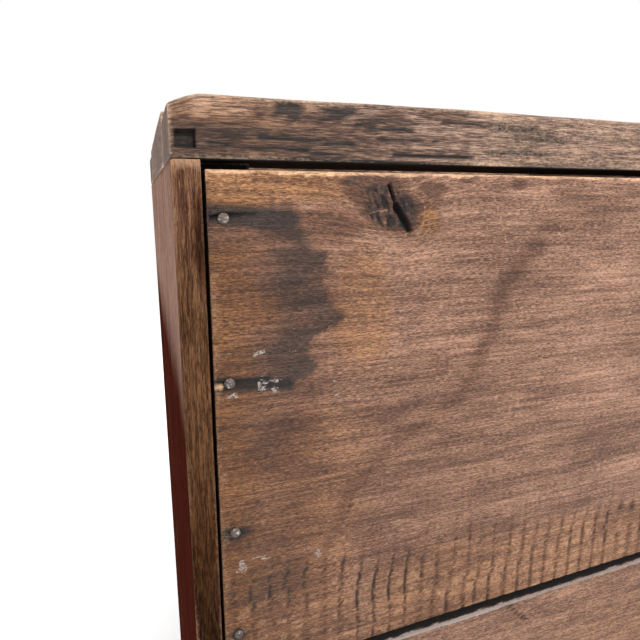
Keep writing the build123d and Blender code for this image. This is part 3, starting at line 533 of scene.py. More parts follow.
def blots(x, z, table, ragged):
    """The darkest of many spots: each is a place, a half width, a half height and a darkness."""
    return most(*[dark * spot(x, z, cx, cz, rx, rz, ragged) for cx, cz, rx, rz, dark in table])


print("a spot runs from", spot(np.zeros(1), 0, 0, 0, 1, 1)[0], "to", spot(np.ones(1), 1, 0, 0, 1, 1)[0])

# %% [markdown]
# The rim rails lie flat on the walls. The end rails run through, and the tenon of each side rail
# ends a few millimetres below their outer face, which leaves a small square hollow near the corner.
# A boolean cut would make it, but it is simpler to give the grid lines at its sides and sink the
# points between them. Years of hands have rounded the corner and left black blotches on the face.

# %% Rim rails
TENON_SIDE, TENON_LOW, TENON_HIGH, TENON_SUNK = (2.9, 13.1), 5.1, 14.3, 4.0
# In mm from the rear rail's left end and down from its top: blots, then cracks as bent lines.
RIM_BLOTS = ((62, 5.5, 12, 5.5, 0.86), (86, 6, 12, 5, 0.88), (74, 9, 20, 4, 0.6), (120, 8, 12, 7, 0.5),
             (34, 14, 20, 5, 0.42), (47, 9, 8, 5, 0.45), (150, 4, 22, 3, 0.4), (98, 14, 10, 4, 0.4),
             (8, 15, 8, 9, 0.6))
RIM_CRACKS = (((72, 27), (88, 27.4)), ((18, 24), (46, 24.6), (70, 25.6)), ((110, 18), (146, 19)),
              ((44, 19.5), (95, 21.5)), ((180, 23), (226, 22.5)), ((120, 26), (170, 26.5)),
              ((150, 8), (190, 8.8), (214, 8.4)), ((96, 12), (130, 12.8)), ((200, 15), (238, 15.4)))
rail_long, rail_deep, rail_thick = rail_high - rail_low
hollow_edges = np.array([v + d for v in TENON_SIDE for d in (-0.15, 0.15)]) * MM
across_rail = np.unique(np.concatenate([
    lines(rail_long, 2.5 * MM, 2.5 * MM), hollow_edges, rail_long - hollow_edges]))
up_rail = np.unique(np.concatenate([
    lines(rail_thick, 1.7 * MM, 2.5 * MM),
    np.array([v + d for v in (TENON_LOW, TENON_HIGH) for d in (-0.15, 0.15)]) * MM]))


def rail_detail(outward, seen):
    """Sinks the tenon's square hollow and paints it dark as shade, and lets the rail's ends droop by
    5.5 mm x (1 - end/17)^1.6.
    A rail that is seen close to also has blots, cracks and a painted shade along its underside."""
    def detail(flat, faces, sunk, points, marks, tone):
        x, z = flat[:, 0] / MM, flat[:, 2] / MM
        end = np.minimum(x, rail_long / MM - x)
        outer = faces[:, 1] * outward > 0.7
        hollow = outer & (end > TENON_SIDE[0]) & (end < TENON_SIDE[1])
        hollow &= (z > TENON_LOW) & (z < TENON_HIGH)
        sunk = np.where(hollow, TENON_SUNK * MM, sunk)
        # painted shade in the tenon's hollow
        marks[:, STAIN_AND_SHADE] = np.where(hollow, 0.93, marks[:, STAIN_AND_SHADE])
        drop = 5.5 * np.clip(1 - end / 17, 0, 1) ** 1.6
        drop = drop + 0.8 * (1 + noise(flat, (0.03, 0.05, 0.05), 91))
        points[:, 2] -= drop * MM * (flat[:, 2] / rail_thick) ** 3
        if seen:
            down, ragged = rail_thick / MM - z, 0.5 * noise(flat, 0.006, 92)
            blot = 0.62 * (1 - 0.75 * ease(x + 20 * ragged, 60, 150)) * ease(down + 6 * ragged, 8, 15)
            blot = blot + 0.1 * noise(flat, (0.03, 0.01, 0.003), 95)
            cracks = most(*[trail(x, down + ragged, path, 1.3) for path in RIM_CRACKS])
            blot = most(blot, 0.3 * (1 - ease(x + 4 * ragged, 6, 16)),
                        blots(x, down, RIM_BLOTS, ragged), 0.97 * cracks)
            sunk = sunk + MM * cracks * outer
            blot = np.where(outer | (faces[:, 2] > 0.5), blot, 0)
            # painted shade along the rail's underside, over the gap; the hollow is kept dark as painted
            # shade too
            under = 0.97 * (1 - ease(z, 0.9, 2.4))
            marks[:, STAIN_AND_SHADE] = most(marks[:, STAIN_AND_SHADE] * 0.3, blot, under, 0.9 * hollow)
            tone[:] = tone * 0.35 + 0.4 * (1 - ease(x, 30, 120))
            marks[:, WEAR_AND_HIGHLIGHT] = most(marks[:, WEAR_AND_HIGHLIGHT], 0.3 * ease(x + 20 * ragged, 130, 190) * outer,
                                    0.3 * (1 - ease(down + 3 * ragged, 1, 6)) * outer)
        return sunk, points
    return detail


depth_lines = lines(rail_deep, 3 * MM, 2.5 * MM)
for node, outward, seen, seed in (("rim_rear", -1, True, 31), ("rim_front", 1, False, 32)):
    board(node, "x", "rim", seed, grid=[across_rail, depth_lines, up_rail],
          detail=rail_detail(outward, seen), wear=1.3, soil=0.5)
front_rail_low = node_box("rim_front")[0]
for node, seed in (("rim_left", 33), ("rim_right", 34)):
    low, high = node_box(node)
    low[1], high[1] = rail_high[1], front_rail_low[1]
    board(node, "y", "rim", seed, low=low, high=high, cell=(4, 2.5, 3), wear=1.3, soil=0.5)
print("with the rim", len(made), "triangles", sum(made))

# %% [markdown]
# The upright planks of the side walls run down past the floor to the ground, where they are the
# barrow's legs. Their lower edge rises to the front from a short flat foot. Outside they were oiled
# red: near the rim a painted reflection lightens the coat to a pinkish grey, lower down it is deep,
# and along the arris it has gone.

# %% Side planks
foot_end, nose_rise = rail_low[1] + 0.110, 0.4
rim_top, plank_top = rail_high[2], rail_low[2]
PLANK = 15    # thickness in mm


def foot(world):
    """Squeezes a plank upwards so that its lower end follows the rising edge."""
    bottom = np.maximum(nose_rise * (world[:, 1] - foot_end), 0)
    share = world[:, 2] / plank_top
    world[:, 2] = bottom + share * (plank_top - bottom)
    return world


def plank_detail(side, rear):
    """Red coat outside, lightened to a pinkish grey near the rim by a painted reflection and splashed
    near the ground;
    a rear plank's edge shows bare wood, warm at the top and dark lower down, with a blue stain from the
    nails."""
    def detail(flat, faces, sunk, points, marks, tone):
        below = (rim_top - flat[:, 0]) / MM
        outer = faces[:, 1] * side > 0.6
        wander = 14 * noise(flat, (0.05, 0.05, 0.02), 93)
        # painted reflection: near the rim the red coat is lightened to pinkish grey; on the bare faces
        # the same band scales the tone
        painted_reflection = 1 - ease(below + wander, 112, 182)
        marks[:, COAT] = outer * (1 - ease(2.5 - flat[:, 2] / MM, 0, 2.5) * rear)
        tone[:] = np.where(outer, painted_reflection, tone * (0.35 + 0.65 * painted_reflection))
        marks[:, STAIN_AND_SHADE] = np.where(outer, 0.12 * marks[:, STAIN_AND_SHADE], marks[:, STAIN_AND_SHADE])
        darken(marks, 0.5 * ease(below, 560, 720))
        if rear:
            edge = faces[:, 2] < -0.6
            marks[:, STAIN_AND_SHADE] = np.where(edge, 0.05 + 0.85 * ease(below, 120, 400), marks[:, STAIN_AND_SHADE])
            tone[:] = np.where(edge, np.maximum(tone * 0.3, 1 - ease(below, 40, 130)), tone)
            inward = flat[:, 1] / MM if side > 0 else PLANK - flat[:, 1] / MM
            blue = spot(inward, below, 1.5, 70, 4.5, 24, 0.3 * noise(flat, 0.008, 94))
            darken(marks, 0.6 * blue * edge)
            # wear and a painted highlight: a pale band at the plank's top, where the light from above
            # falls
            worn = marks[:, WEAR_AND_HIGHLIGHT] * 0.7 + 0.5 * (below < 34)
            marks[:, WEAR_AND_HIGHLIGHT] = np.where(edge, worn, marks[:, WEAR_AND_HIGHLIGHT])
        return sunk, points
    return detail


for word, side in (("left", -1), ("right", 1)):
    for place, seed in (("rear", 41), ("front", 43)):
        node = f"side_plank_{word}_{place}"
        low = node_box(node)[0]
        low[2] = 0
        board(node, "z", "side", seed + (side > 0), low=low, bend=foot, cell=(5, 1.8, 4),
              detail=plank_detail(side, place == "rear"), soil=0.35)
print("with the side walls", len(made), "triangles", sum(made))

# %% [markdown]
# The wide upper board of the rear wall is what the eye meets first, so its skin has the closest
# grid, about 2 mm and 0.6 mm round the knot, and its story is told mark by mark, in millimetres from
# its left end and down from its top edge. Iron nails have bled blue-black into the wet wood around
# them and along the grain. Water once crept in from the left end and dried, and left a dark tide
# line with soft lobes. A knot has torn out a rough patch with a crack through it, the frame saw has
# left faint upright lines near the bottom, and the left end and top edge are a warmer gold.

# %% The marks on the rear panel
panel_tall = panel_high[2] - panel_low[2]
panel_long, panel_thick = panel_high[0] - panel_low[0], panel_high[1] - panel_low[1]
PANEL_RISE = panel_long * math.tan(math.radians(2.6))
NAIL_DOWN = [share * panel_tall / MM for share in (0.08, 0.369, 0.666, 0.892)]
N1, N2, N3, N4 = NAIL_DOWN
SAW_STEP = 11.6
TIDE = ((33, 58), (45, 64), (51, 66), (55, 69), (59, 64), (65, 67), (72, 67), (77, 76), (81, 78),
        (86, 71), (88, 64), (95, 56), (100, 55), (109, 61), (114, 58), (118, 46))
SHADE = ((205, 43), (184, 66), (174, 96), (167, 126), (156, 140), (114, 163), (81, 192), (66, 226))
# Bleed from the nails: darkness, width, the share of it that is blurred, and its bent line.
BLEEDS = (
    (0.86, 11, 0.7, ((-5, N1 - 2), (20, N1 - 1), (44, N1 + 1))),
    (0.78, 14, 0.9, ((30, N1 + 1), (48, N1 + 9), (54, N1 + 26))),
    (0.93, 9, 0.8, ((-5, N2), (24, N2 + 2), (42, N2 + 3))),
    (0.45, 8, 0.9, ((40, N2 + 1), (60, N2 - 6))), (0.9, 6.5, 0.8, ((-5, N3), (16, N3 + 1))),
    (0.35, 9, 0.9, ((-5, N3 + 1), (34, N3 + 4))), (0.5, 7, 0.8, ((-5, N4), (14, N4))),
)
PANEL_BLOTS = (
    (84, 5, 12, 4, 0.75), (88, 13, 14, 8, 0.62), (129, 9, 12, 6, 0.6), (153, 3, 7, 2.5, 0.6),
    (190, 6, 9, 4, 0.5), (64, 45, 3, 2, 0.85), (75, 17, 1, 1, 0.9), (225, 30, 22, 5, 0.3),
    (81, 202, 4, 1.6, 0.9), (8.5, N1, 6, 5, 0.97), (8.5, N2, 6, 5, 0.97), (8.5, N3, 6, 5, 0.97),
    (8.5, N4, 6, 5, 0.95),
)
CHALK = ((25, 98, 5, 4), (27, 117, 4, 7), (34, 115, 5, 3), (43, 99, 6, 1.5), (12, 228, 5, 7),
         (24, 226, 9, 2.5), (60, 232, 4, 7), (54, 226, 7, 2), (34, 121, 4, 3), (70, 120, 3, 2),
         (72, 128, 1.6, 2.5), (10, 122, 5, 3))


def panel_stain_and_shade(x, z, p, fine, soft, wide):
    """The darkest of the nails' bleed, the wet that came in from the left, the shade, a painted shade
    towards the left, and blots.
    """
    tide = np.interp(z, *zip(*TIDE)) + 1.8 * fine + 1.5 * soft
    inside = ease(tide - x, -0.5, 2.2) * ease(z, 30, 44) * (1 - ease(z, 116, 121))
    mottle = 0.16 * noise(p, (0.018, 0.006, 0.006), 212)
    return most(
        *[dark * trail(x, z + 1.5 * fine, path, width, blur) for dark, width, blur, path in BLEEDS],
        inside * (0.74 - 0.5 * ease(tide - x + 8 * soft, 18, 62) + mottle),
        0.6 * spot(x, z, 50, 76, 28, 14, 0.3 * soft),
        0.36 * trail(x + 5 * wide, z, SHADE, 11, 0.9),
        0.42 * spot(x, z, 62, 28, 34, 15, 0.4 * soft),
        (0.42 + 0.2 * wide) * (1 - ease(x + 14 * wide, 40, 105)) * ease(z, 18, 30),
        # painted shade: darker towards the left and lower down, away from the key light on the right
        0.18 * (1 - ease(x + 20 * wide, 140, 250)) * ease(z, 60, 150),
        0.38 * ease(z, 205, 250) * (1 - ease(x, 40, 110)),
        0.22 * ease(wide, 0.1, 0.8),
        blots(x, z, PANEL_BLOTS, 0.35 * soft + 0.2 * fine))


def panel_knot(x, z, p, soft):
    """Torn fibres that lean to the right, the oval they fill, the crack in it and rings round it."""
    lean = np.stack([(x - 0.45 * z) * MM, p[:, 1], (z + 0.35 * x) * MM], axis=1)
    torn = noise(lean, (0.0016, 0.01, 0.006), 204) + 0.7 * noise(lean, (0.001, 0.01, 0.002), 206)
    knot = spot(x - 0.45 * (z - 19), z, 104, 18.5, 24, 18, 0.2 * soft + 0.12 * torn)
    crack = most(
        trail(x + 0.7 * torn, z, ((103, 7), (105, 13), (107, 19)), 1.3, 0.6),
        trail(x + 0.6 * torn, z, ((107, 18), (111, 24), (114, 28), (116, 32)), 2.6, 0.5))
    ring = np.hypot((x - 0.35 * (z - 20) - 106) / 20, (z - 20) / 15) + 0.1 * soft
    rings = (0.5 + 0.5 * np.cos(ring * 26)) * ease(ring, 0.75, 1.0) * (1 - ease(ring, 1.3, 1.9))
    return torn, knot, crack, rings * ease(x, 104, 118)


def saw_lines(x, z, p, fine, wide):
    """Upright lines where x / SAW_STEP is near a half, only towards the bottom, and how ragged."""
    saw = (x + 2.5 * wide + 0.04 * z + 1.1 * fine) / SAW_STEP + 0.2 * noise(p, (0.02, 1, 1), 205)
    saw = np.abs(saw - np.floor(saw) - 0.5) * 2
    ragged = noise(p, (0.005, 1, 0.0022), 207)
    sawn = (1 - ease(saw, 0.02, 0.34)) * ease(z + 16 * wide, 214, 250) * (0.75 + 0.6 * ragged)
    return np.clip(sawn * (0.9 + 0.7 * wide), 0, 1), ragged


def panel_story(x, z, p):
    """Stain and painted shade, gold, wear and painted highlights, extra depth in mm and chalk for
    points x along and z down the panel.
    """
    fine = noise(p, (0.012, 0.002, 0.002), 201) + 0.5 * noise(p, (0.004, 0.002, 0.002), 211)
    soft = noise(p, (0.03, 0.008, 0.008), 202)
    wide = noise(p, (0.07, 0.025, 0.025), 203)
    torn, knot, crack, rings = panel_knot(x, z, p, soft)
    stain = most(panel_stain_and_shade(x, z, p, fine, soft, wide) * (1 - 0.5 * knot),
                 knot * np.clip(0.84 + 0.4 * torn, 0.35, 0.98), crack, 0.35 * rings)
    deep = knot * (1.0 + 1.3 * torn) + 3.8 * crack + 0.35 * rings
    # splits that run from the left end to the upper nails
    wavy = z + 0.4 * soft
    split = most(trail(x, wavy, ((-5, N1 + 0.6), (9, N1 - 1.5), (24, N1 - 2.4)), 1.9, 0.6),
                 trail(x, wavy, ((-5, N2 - 0.6), (9, N2 - 1), (31, N2 - 1.8)), 1.8, 0.6))
    sawn, ragged = saw_lines(x, z, p, fine, wide)
    stain = most(stain, split, np.minimum(0.92 * sawn, 0.95))
    deep = deep + 2.2 * split * (1 - ease(x, 8, 30)) + 0.6 * sawn
    gold = most(
        0.1 + 0.8 * (1 - ease(x + 7 * soft, 10, 36)) * ease(z, 30, 46),
        0.85 * (1 - ease(z + 5 * soft, 12, 24)) * (1 - ease(x, 60, 95)),
        0.6 * spot(x, z, 88, 76, 24, 42, 0.3 * wide),
        0.8 * spot(x, z, 26, 74, 17, 10, 0.3 * soft),
        0.9 * spot(x, z, 128, 27, 8, 12, 0.3 * torn),
        0.45 * ease(z, 120, 150) * (1 - ease(x, 60, 130)),
        0.5 * ease(z + 6 * soft, 228, 262) * ease(x, 60, 120))
    rubbed = most(
        # painted highlight: a pale band along the top arris, where the light from above falls
        0.75 * (1 - ease(z + 2.0 * fine, 0.4, 3.2)),
        0.3 * (1 - ease(x + 5 * soft, 1, 9)) * ease(z, 40, 60),
        (0.24 + 0.2 * ragged) * ease(z + 6 * soft, 236, 262) * (1 - sawn),
        0.4 * trail(x, z, ((174, 15), (184, 41)), 1.1),
        # painted highlight on the lower lip of the split by the second nail
        0.7 * trail(x, z, ((0, N2 + 1.6), (5, N2 + 2.4)), 1.3),
        0.36 * trail(x, z, ((91, 22.5), (95, 21.5), (102, 20.5)), 0.9),
        0.3 * knot * (torn < -0.8) + 0.34 * rings,
        0.35 * ease(noise(p, (0.006, 0.0016, 0.0016), 213), 0.35, 0.8) * (stain < 0.6))
    chalk = 0.73 * most(*[spot(x, z, *oval, 0.5 * soft + 0.4 * fine) for oval in CHALK])
    return stain, gold, rubbed, deep, chalk


def panel_detail(flat, faces, sunk, points, marks, tone):
    """Lays the panel's story on its outer face; z is measured along the slope of its lower edge."""
    x = flat[:, 0] / MM
    z = (panel_tall - flat[:, 2]) / MM
    z = z * (1 - PANEL_RISE / panel_tall * flat[:, 0] / panel_long)
    stain, gold, rubbed, deep, chalk = panel_story(x, z, flat)
    outer = ease(-faces[:, 1], 0.0, 0.3)
    marks[:, STAIN_AND_SHADE] = np.where(outer > 0, stain, marks[:, STAIN_AND_SHADE])
    marks[:, WEAR_AND_HIGHLIGHT] = np.maximum(marks[:, WEAR_AND_HIGHLIGHT] * (0.4 + 0.6 * (z < 6)), rubbed * outer)
    marks[:, COAT] = chalk * outer
    tone[:] = np.where(outer > 0, gold, tone)
    return sunk + deep * outer * MM, points


def knot_flow(flat):
    """The grain swells round the knot: its pattern is pushed down by 10 mm at the knot's middle."""
    x, z = flat[:, 0] / MM, (panel_tall - flat[:, 2]) / MM
    push = 10 * MM * np.exp(-((x - 108) / 30) ** 2 - (z / 48) ** 2)
    return np.stack([0 * x, 0 * x, push], axis=1)


def slope_under(world):
    """Lifts the lower edge of the rear panel towards its right end: it was sawn out of true."""
    share = (world[:, 2] - panel_low[2]) / panel_tall
    bottom = panel_low[2] + PANEL_RISE * (world[:, 0] - panel_low[0]) / panel_long
    world[:, 2] = bottom + share * (panel_high[2] - bottom)
    return world


# about 2 mm apart near the left end, 0.6 mm round the knot, and wide apart beyond
fine_part = np.concatenate([np.arange(2.5, 78, 2), np.arange(78, 130, 0.6), np.arange(130, 299, 2.3)])
coarse_part = np.linspace(300 * MM, panel_long - 2.5 * MM, 42)
ends_part = np.array([0, 0.9, 1.7]) * MM
panel_grid = [
    np.concatenate([ends_part, fine_part * MM, coarse_part, panel_long - ends_part[::-1]]),
    lines(panel_thick, 4 * MM, 1.5 * MM),
    np.concatenate([ends_part, np.arange(2.5, 270, 2.3) * MM,
                    panel_tall - np.arange(38, 2.4, -0.6) * MM, panel_tall - ends_part[::-1]]),
]
board("rear_panel", "x", "end", 51, grid=panel_grid, detail=panel_detail, flow=knot_flow,
      bend=slope_under, wear=0.6, soil=0.3)
print("rear panel", made[-1], "triangles")

# %% [markdown]
# The rest of the two end walls: the front panel is a plain board, and below each panel a narrower,
# thicker board stands down to the shafts. The top of the rear one slopes with the panel above it.

# %% Other boards of the end walls
def slope_over(world):
    """Lifts the top edge of the rear lower board towards its right end, along the panel's slope."""
    low, high = node_box("rear_lower_board")
    level = high[2] - PANEL_RISE + PANEL_RISE * (world[:, 0] - low[0]) / (high[0] - low[0])
    world[:, 2] = low[2] + (world[:, 2] - low[2]) / (high[2] - low[2]) * (level - low[2])
    return world


def iron_bleed(spots, outward):
    """Blue-black stain around nails at (x, z) in mm from the board's left end and bottom."""
    def detail(flat, faces, sunk, points, marks, tone):
        x, z = flat[:, 0] / MM, flat[:, 2] / MM
        ragged = 0.5 * noise(flat, (0.02, 0.004, 0.004), 210)
        for cx, cz in spots:
            darken(marks, 0.7 * spot(x, z, cx, cz, 20, 6, ragged) * (faces[:, 1] * outward > 0.3))
        return sunk, points
    return detail


nail_in = 8.5
wall_long = panel_long / MM
front_nails = [(x, panel_tall / MM - z) for x in (nail_in, wall_long - nail_in) for z in NAIL_DOWN]
board("front_panel", "x", "end", 52, cell=(5, 4, 3), wear=0.8, detail=iron_bleed(front_nails, 1))


CHECK = ((205, 97.5), (207, 96), (212, 89), (217, 83), (224, 75))


def pale_seam(flat, faces, sunk, points, marks, tone):
    """The top is pale grey where it stands in front of the panel, and painted black behind it, a
    painted shade in the gap under the panel.
    A short check runs down the face from it."""
    x, y, z = flat.T / MM
    top = ease(faces[:, 2], 0.15, 0.5)
    front = 1 - ease(y + 0.5 * noise(flat, 0.006, 215), 2.9, 3.7)
    marks[:, COAT] = np.maximum(marks[:, COAT], top * front)
    check = trail(x, z + 0.5 * noise(flat, 0.004, 216), CHECK, 0.9) * (faces[:, 1] < -0.5)
    # painted shade: black on the top behind the panel, in the gap under it
    marks[:, STAIN_AND_SHADE] = most(0.4 * marks[:, STAIN_AND_SHADE], check, top * (1 - front))
    marks[:, WEAR_AND_HIGHLIGHT] *= 0.25
    tone[:] = 0.3 * tone
    return sunk + check * MM, points


board("rear_lower_board", "x", "end", 53, bend=slope_over, soil=0.25, detail=pale_seam,
      cell=(3, 1.2, 2), edge=1)
board("front_lower_board", "x", "end", 54, cell=(6, 4, 3), soil=0.5)
print("with the end walls", len(made), "triangles", sum(made))

# %% [markdown]
# Under the box, three bearers drop over the shafts, leg posts fill the space between each shaft and
# its side wall, and a stretcher ties the legs. The shafts come together towards the wheel, so the
# posts' inner faces lean in plan, and the bearers' notches are measured from the shafts' line.

# %% Bearers, leg posts and stretcher
axle_y = float(sum(v[1] for v in node_box("hub")) / 2)
axle_z = float(sum(v[2] for v in node_box("hub")) / 2)
SPREAD_AXLE, SPREAD_BOX, SHAFT_WIDE, SHAFT_TALL = 0.200, 0.370, 0.045, 0.056
shaft_slope = (SPREAD_BOX - SPREAD_AXLE) / 2 / (axle_y - rail_low[1])
shaft_plan = math.atan(shaft_slope)
shaft_z = axle_z + 0.032 + SHAFT_TALL / 2
half_across = SHAFT_WIDE / 2 / math.cos(shaft_plan)


def shaft_x(y):
    """Distance of a shaft's centre line from the middle of the barrow at a place along it."""
    return SPREAD_AXLE / 2 + shaft_slope * (axle_y - y)


def notched(world):
    """Lifts a bearer's underside 8 mm where it sits on a shaft."""
    gap = np.abs(np.abs(world[:, 0]) - shaft_x(world[:, 1])) - half_across
    low = shaft_z + SHAFT_TALL / 2 - 0.008
    lift = 0.0085 * (1 - ease(gap, 0.0004, 0.0014)) * (1 - ease(world[:, 2], low, low + 0.03))
    world[:, 2] = world[:, 2] + lift
    return world


def leg(side, low, high):
    """Moves a leg post's inner face out to the shaft, which leans in plan."""
    def shape(world):
        face = side * (shaft_x(world[:, 1]) + half_across)
        inner, outer = (high[0], low[0]) if side < 0 else (low[0], high[0])
        world[:, 0] = outer + (world[:, 0] - outer) / (inner - outer) * (face - outer)
        return world
    return shape


def muddy(flat, faces, sunk, points, marks, tone):
    """The lowest 90 mm of a leg post is dark with mud."""
    darken(marks, 0.6 * (1 - ease(flat[:, 0], 0.01, 0.09)))
    return sunk, points


for number, node in enumerate(("bearer_rear", "bearer_middle", "bearer_front")):
    board(node, "x", "frame", 61 + number, bend=notched, cell=(3, 4, 4), soil=0.5)
for word, side in (("left", -1), ("right", 1)):
    node = f"leg_post_{word}"
    board(node, "z", "frame", 65 + side, bend=leg(side, *node_box(node)), detail=muddy,
          cell=(8, 3, 4))
low, high = node_box("leg_stretcher")
low[0], high[0] = [side * (shaft_x(low[1]) + half_across - 0.004) for side in (-1, 1)]
board("leg_stretcher", "x", "frame", 68, low=low, high=high, cell=(8, 3, 3))
print("with the underframe", len(made), "triangles", sum(made))

# %% [markdown]
# Each shaft was sawn from a plank with a natural crook: straight under the box, then an arc up to
# the handle, with the end turned down to a round grip. A curve with a bevel could follow the line,
# but not change from square to round. Here the straight block is bent: the first coordinate runs
# along the line, and the other two are narrowed and rounded on the way.

# %% Shafts and grips
NOSE, BEND_AT = 0.075, (axle_y - rail_low[1] + 0.040) / math.cos(shaft_plan)
ARC_R, ARC_ANGLE, RUN, GRIP, GRIP_R, NECK_TALL = 0.5, math.radians(20), 0.195, 0.125, 0.017, 0.042
ARC = ARC_R * ARC_ANGLE
shaft_long = NOSE + BEND_AT + ARC + RUN + GRIP


def rounded(b, c, share, half_b, half_c):
    """Moves a square section (b, c from -1 to 1) towards a disc by `share`, then scales it."""
    length = np.maximum(np.hypot(b, c), 1e-9)
    disc = np.maximum(np.abs(b), np.abs(c)) / length
    return b * (1 - share + share * disc) * half_b, c * (1 - share + share * disc) * half_c


def shaft_place(side):
    """Bends a straight block along a shaft: s = back and h = up follow line, arc and line, and the
    section is set square to them, narrowed and rounded towards the grip."""
    def place(points):
        along = points[:, 0] - NOSE
        b = (points[:, 1] / SHAFT_WIDE - 0.5) * 2
        c = (points[:, 2] / SHAFT_TALL - 0.5) * 2
        turn = np.clip((along - BEND_AT) / ARC_R, 0, ARC_ANGLE)
        past = np.maximum(along - BEND_AT - ARC, 0)
        back = np.minimum(along, BEND_AT) + ARC_R * np.sin(turn) + past * math.cos(ARC_ANGLE)
        up = ARC_R * (1 - np.cos(turn)) + past * math.sin(ARC_ANGLE)
        taper = np.clip(past / RUN, 0, 1)
        neck = ease(past, RUN, RUN + 0.04)
        tall = SHAFT_TALL / 2 + (NECK_TALL - SHAFT_TALL) / 2 * taper
        half_b = SHAFT_WIDE / 2 + (GRIP_R - SHAFT_WIDE / 2) * neck
        half_c = tall + (GRIP_R - tall) * neck
        tip = 1 - 0.28 * ease(past, RUN + GRIP - 0.006, RUN + GRIP) ** 2
        nose = 1 - 0.35 * (1 - ease(points[:, 0], 0, 0.014)) ** 2
        wide, high = rounded(b, c, neck, half_b * tip, half_c * tip * nose)
        s, h = back - high * np.sin(turn), up + high * np.cos(turn)
        x = side * (SPREAD_AXLE / 2 + s * math.sin(shaft_plan)) + wide * math.cos(shaft_plan)
        y = axle_y - s * math.cos(shaft_plan) + side * wide * math.sin(shaft_plan)
        return np.stack([x, y, shaft_z + h], axis=1)
    return place


def handled(flat, faces, sunk, points, marks, tone):
    """The grip is darkened by hands and smooth; the nose is knocked about."""
    grip = ease(flat[:, 0], shaft_long - GRIP, shaft_long - GRIP + 0.04)
    darken(marks, 0.45 * grip)
    marks[:, WEAR_AND_HIGHLIGHT] *= 1 - 0.7 * grip
    tone[:] = np.maximum(tone, 0.8 * grip)
    return sunk * (1 - 0.8 * grip), points


for word, side in (("left", -1), ("right", 1)):
    timber(f"shaft_{word}_wood", [f"shaft_{word}"], (shaft_long, SHAFT_WIDE, SHAFT_TALL),
           shaft_place(side), LOOK["frame"], 71 + side, cell=(8, 3, 3), detail=handled, wear=1.3)


def rod(name, node, start, end, radius, look, seed, **more):
    """A round timber from start to end: a block with its section moved to a disc."""
    start, end = np.array(start, float), np.array(end, float)
    long = np.linalg.norm(end - start)
    along = (end - start) / long
    first = np.cross(along, (1, 0, 0) if abs(along[0]) < 0.5 else (0, 0, 1))
    first = first / np.linalg.norm(first)
    second = np.cross(along, first)

    def place(points):
        b, c = (points[:, 1:] / radius - 1).T
        b, c = rounded(b, c, 1.0, radius, radius)
        return start + np.outer(points[:, 0], along) + np.outer(b, first) + np.outer(c, second)
    timber(name, [node], (long, 2 * radius, 2 * radius), place, LOOK[look], seed, **more)


low, high = node_box("shaft_rung")
middle = (low + high) / 2
rod("shaft_rung_wood", "shaft_rung", (low[0], *middle[1:]), (high[0], *middle[1:]),
    (high[2] - low[2]) / 2, "frame", 75, cell=(6, 3, 3), edge=1.5)
print("with the shafts", len(made), "triangles", sum(made))

# %% [markdown]
# The wheel was built by a wheelwright: a turned hub, eight spokes tapered to round tongues, four
# felloes sawn to the curve, and an iron tyre shrunk on. Arrays of one spoke and one felloe could do,
# but then their grain would repeat. Each is its own block, carried out along a radius or bent round
# the rim, and dowels join the felloes end to end.

# %% Spokes and felloes
WHEEL_R, TYRE, FELLOE, WIDE, HUB_R = 0.220, 0.0061, 0.044, 0.045, 0.052
SPOKE_WIDE, SPOKE_THICK, DOWEL, DOWEL_R, PEG_R = 0.030, 0.024, 0.040, 0.005, 0.003
felloe_out, felloe_in = WHEEL_R - TYRE, WHEEL_R - TYRE - FELLOE


def spoke_place(angle, long, wide, thick):
    """Stands a block on the hub at an angle; it narrows by 13 and 18 in a hundred to its tip."""
    def place(points):
        share = points[:, 0] / long
        narrow = 1 - 0.18 * share
        b = (points[:, 1] - wide / 2) * (1 - 0.13 * share)
        c = (points[:, 2] - thick / 2) * narrow
        r = HUB_R - 0.003 + points[:, 0]
        return np.stack([b, axle_y + r * math.cos(angle) + c * math.sin(angle),
                         axle_z + r * math.sin(angle) - c * math.cos(angle)], axis=1)
    return place


def felloe_place(first):
    """Bends a block round the rim: its length is the arc at the outer radius."""
    def place(points):
        angle = first + points[:, 0] / felloe_out
        r = felloe_in + points[:, 2]
        return np.stack([points[:, 1] - WIDE / 2, axle_y + r * np.cos(angle),
                         axle_z + r * np.sin(angle)], axis=1)
    return place


spoke_long = felloe_in - HUB_R + 0.005
for number in range(8):
    timber(f"spoke_{number + 1}_wood", [f"spoke_{number + 1}"], (spoke_long, SPOKE_WIDE, SPOKE_THICK),
           spoke_place(math.radians(45 * (number + 0.5)), spoke_long, SPOKE_WIDE, SPOKE_THICK),
           LOOK["wheel"], 80 + number, cell=(5, 3, 3), wear=2.2, body="wheel")
felloe_gap = 0.0005 / 2 / felloe_in
for number in range(4):
    first = math.radians(90 * (number - 0.5)) + felloe_gap
    arc = (math.pi / 2 - 2 * felloe_gap) * felloe_out
    timber(f"felloe_{number + 1}_wood", [f"felloe_{number + 1}"], (arc, WIDE, FELLOE),
           felloe_place(first), LOOK["wheel"], 90 + number, cell=(6, 4, 4), wear=1.6, body="wheel")

for number in range(4):
    a = math.radians(90 * (number + 0.5))
    middle = np.array([0, axle_y + (felloe_out - FELLOE / 2) * math.cos(a),
                       axle_z + (felloe_out - FELLOE / 2) * math.sin(a)])
    half = DOWEL / 2 * np.array([0, -math.sin(a), math.cos(a)])
    rod(f"felloe_dowel_{number + 1}", "felloe_dowels", middle - half, middle + half, DOWEL_R, "wheel",
        100 + number, cell=(5, 1.2, 1.2), edge=0.8, wear=0.3, body="wheel")
print("with spokes and felloes", len(made), "triangles", sum(made))

# %% [markdown]
# A peg through each corner of the rim locks its two rails. It was whittled and driven in, so a thin
# rod with barely rounded ends is enough.

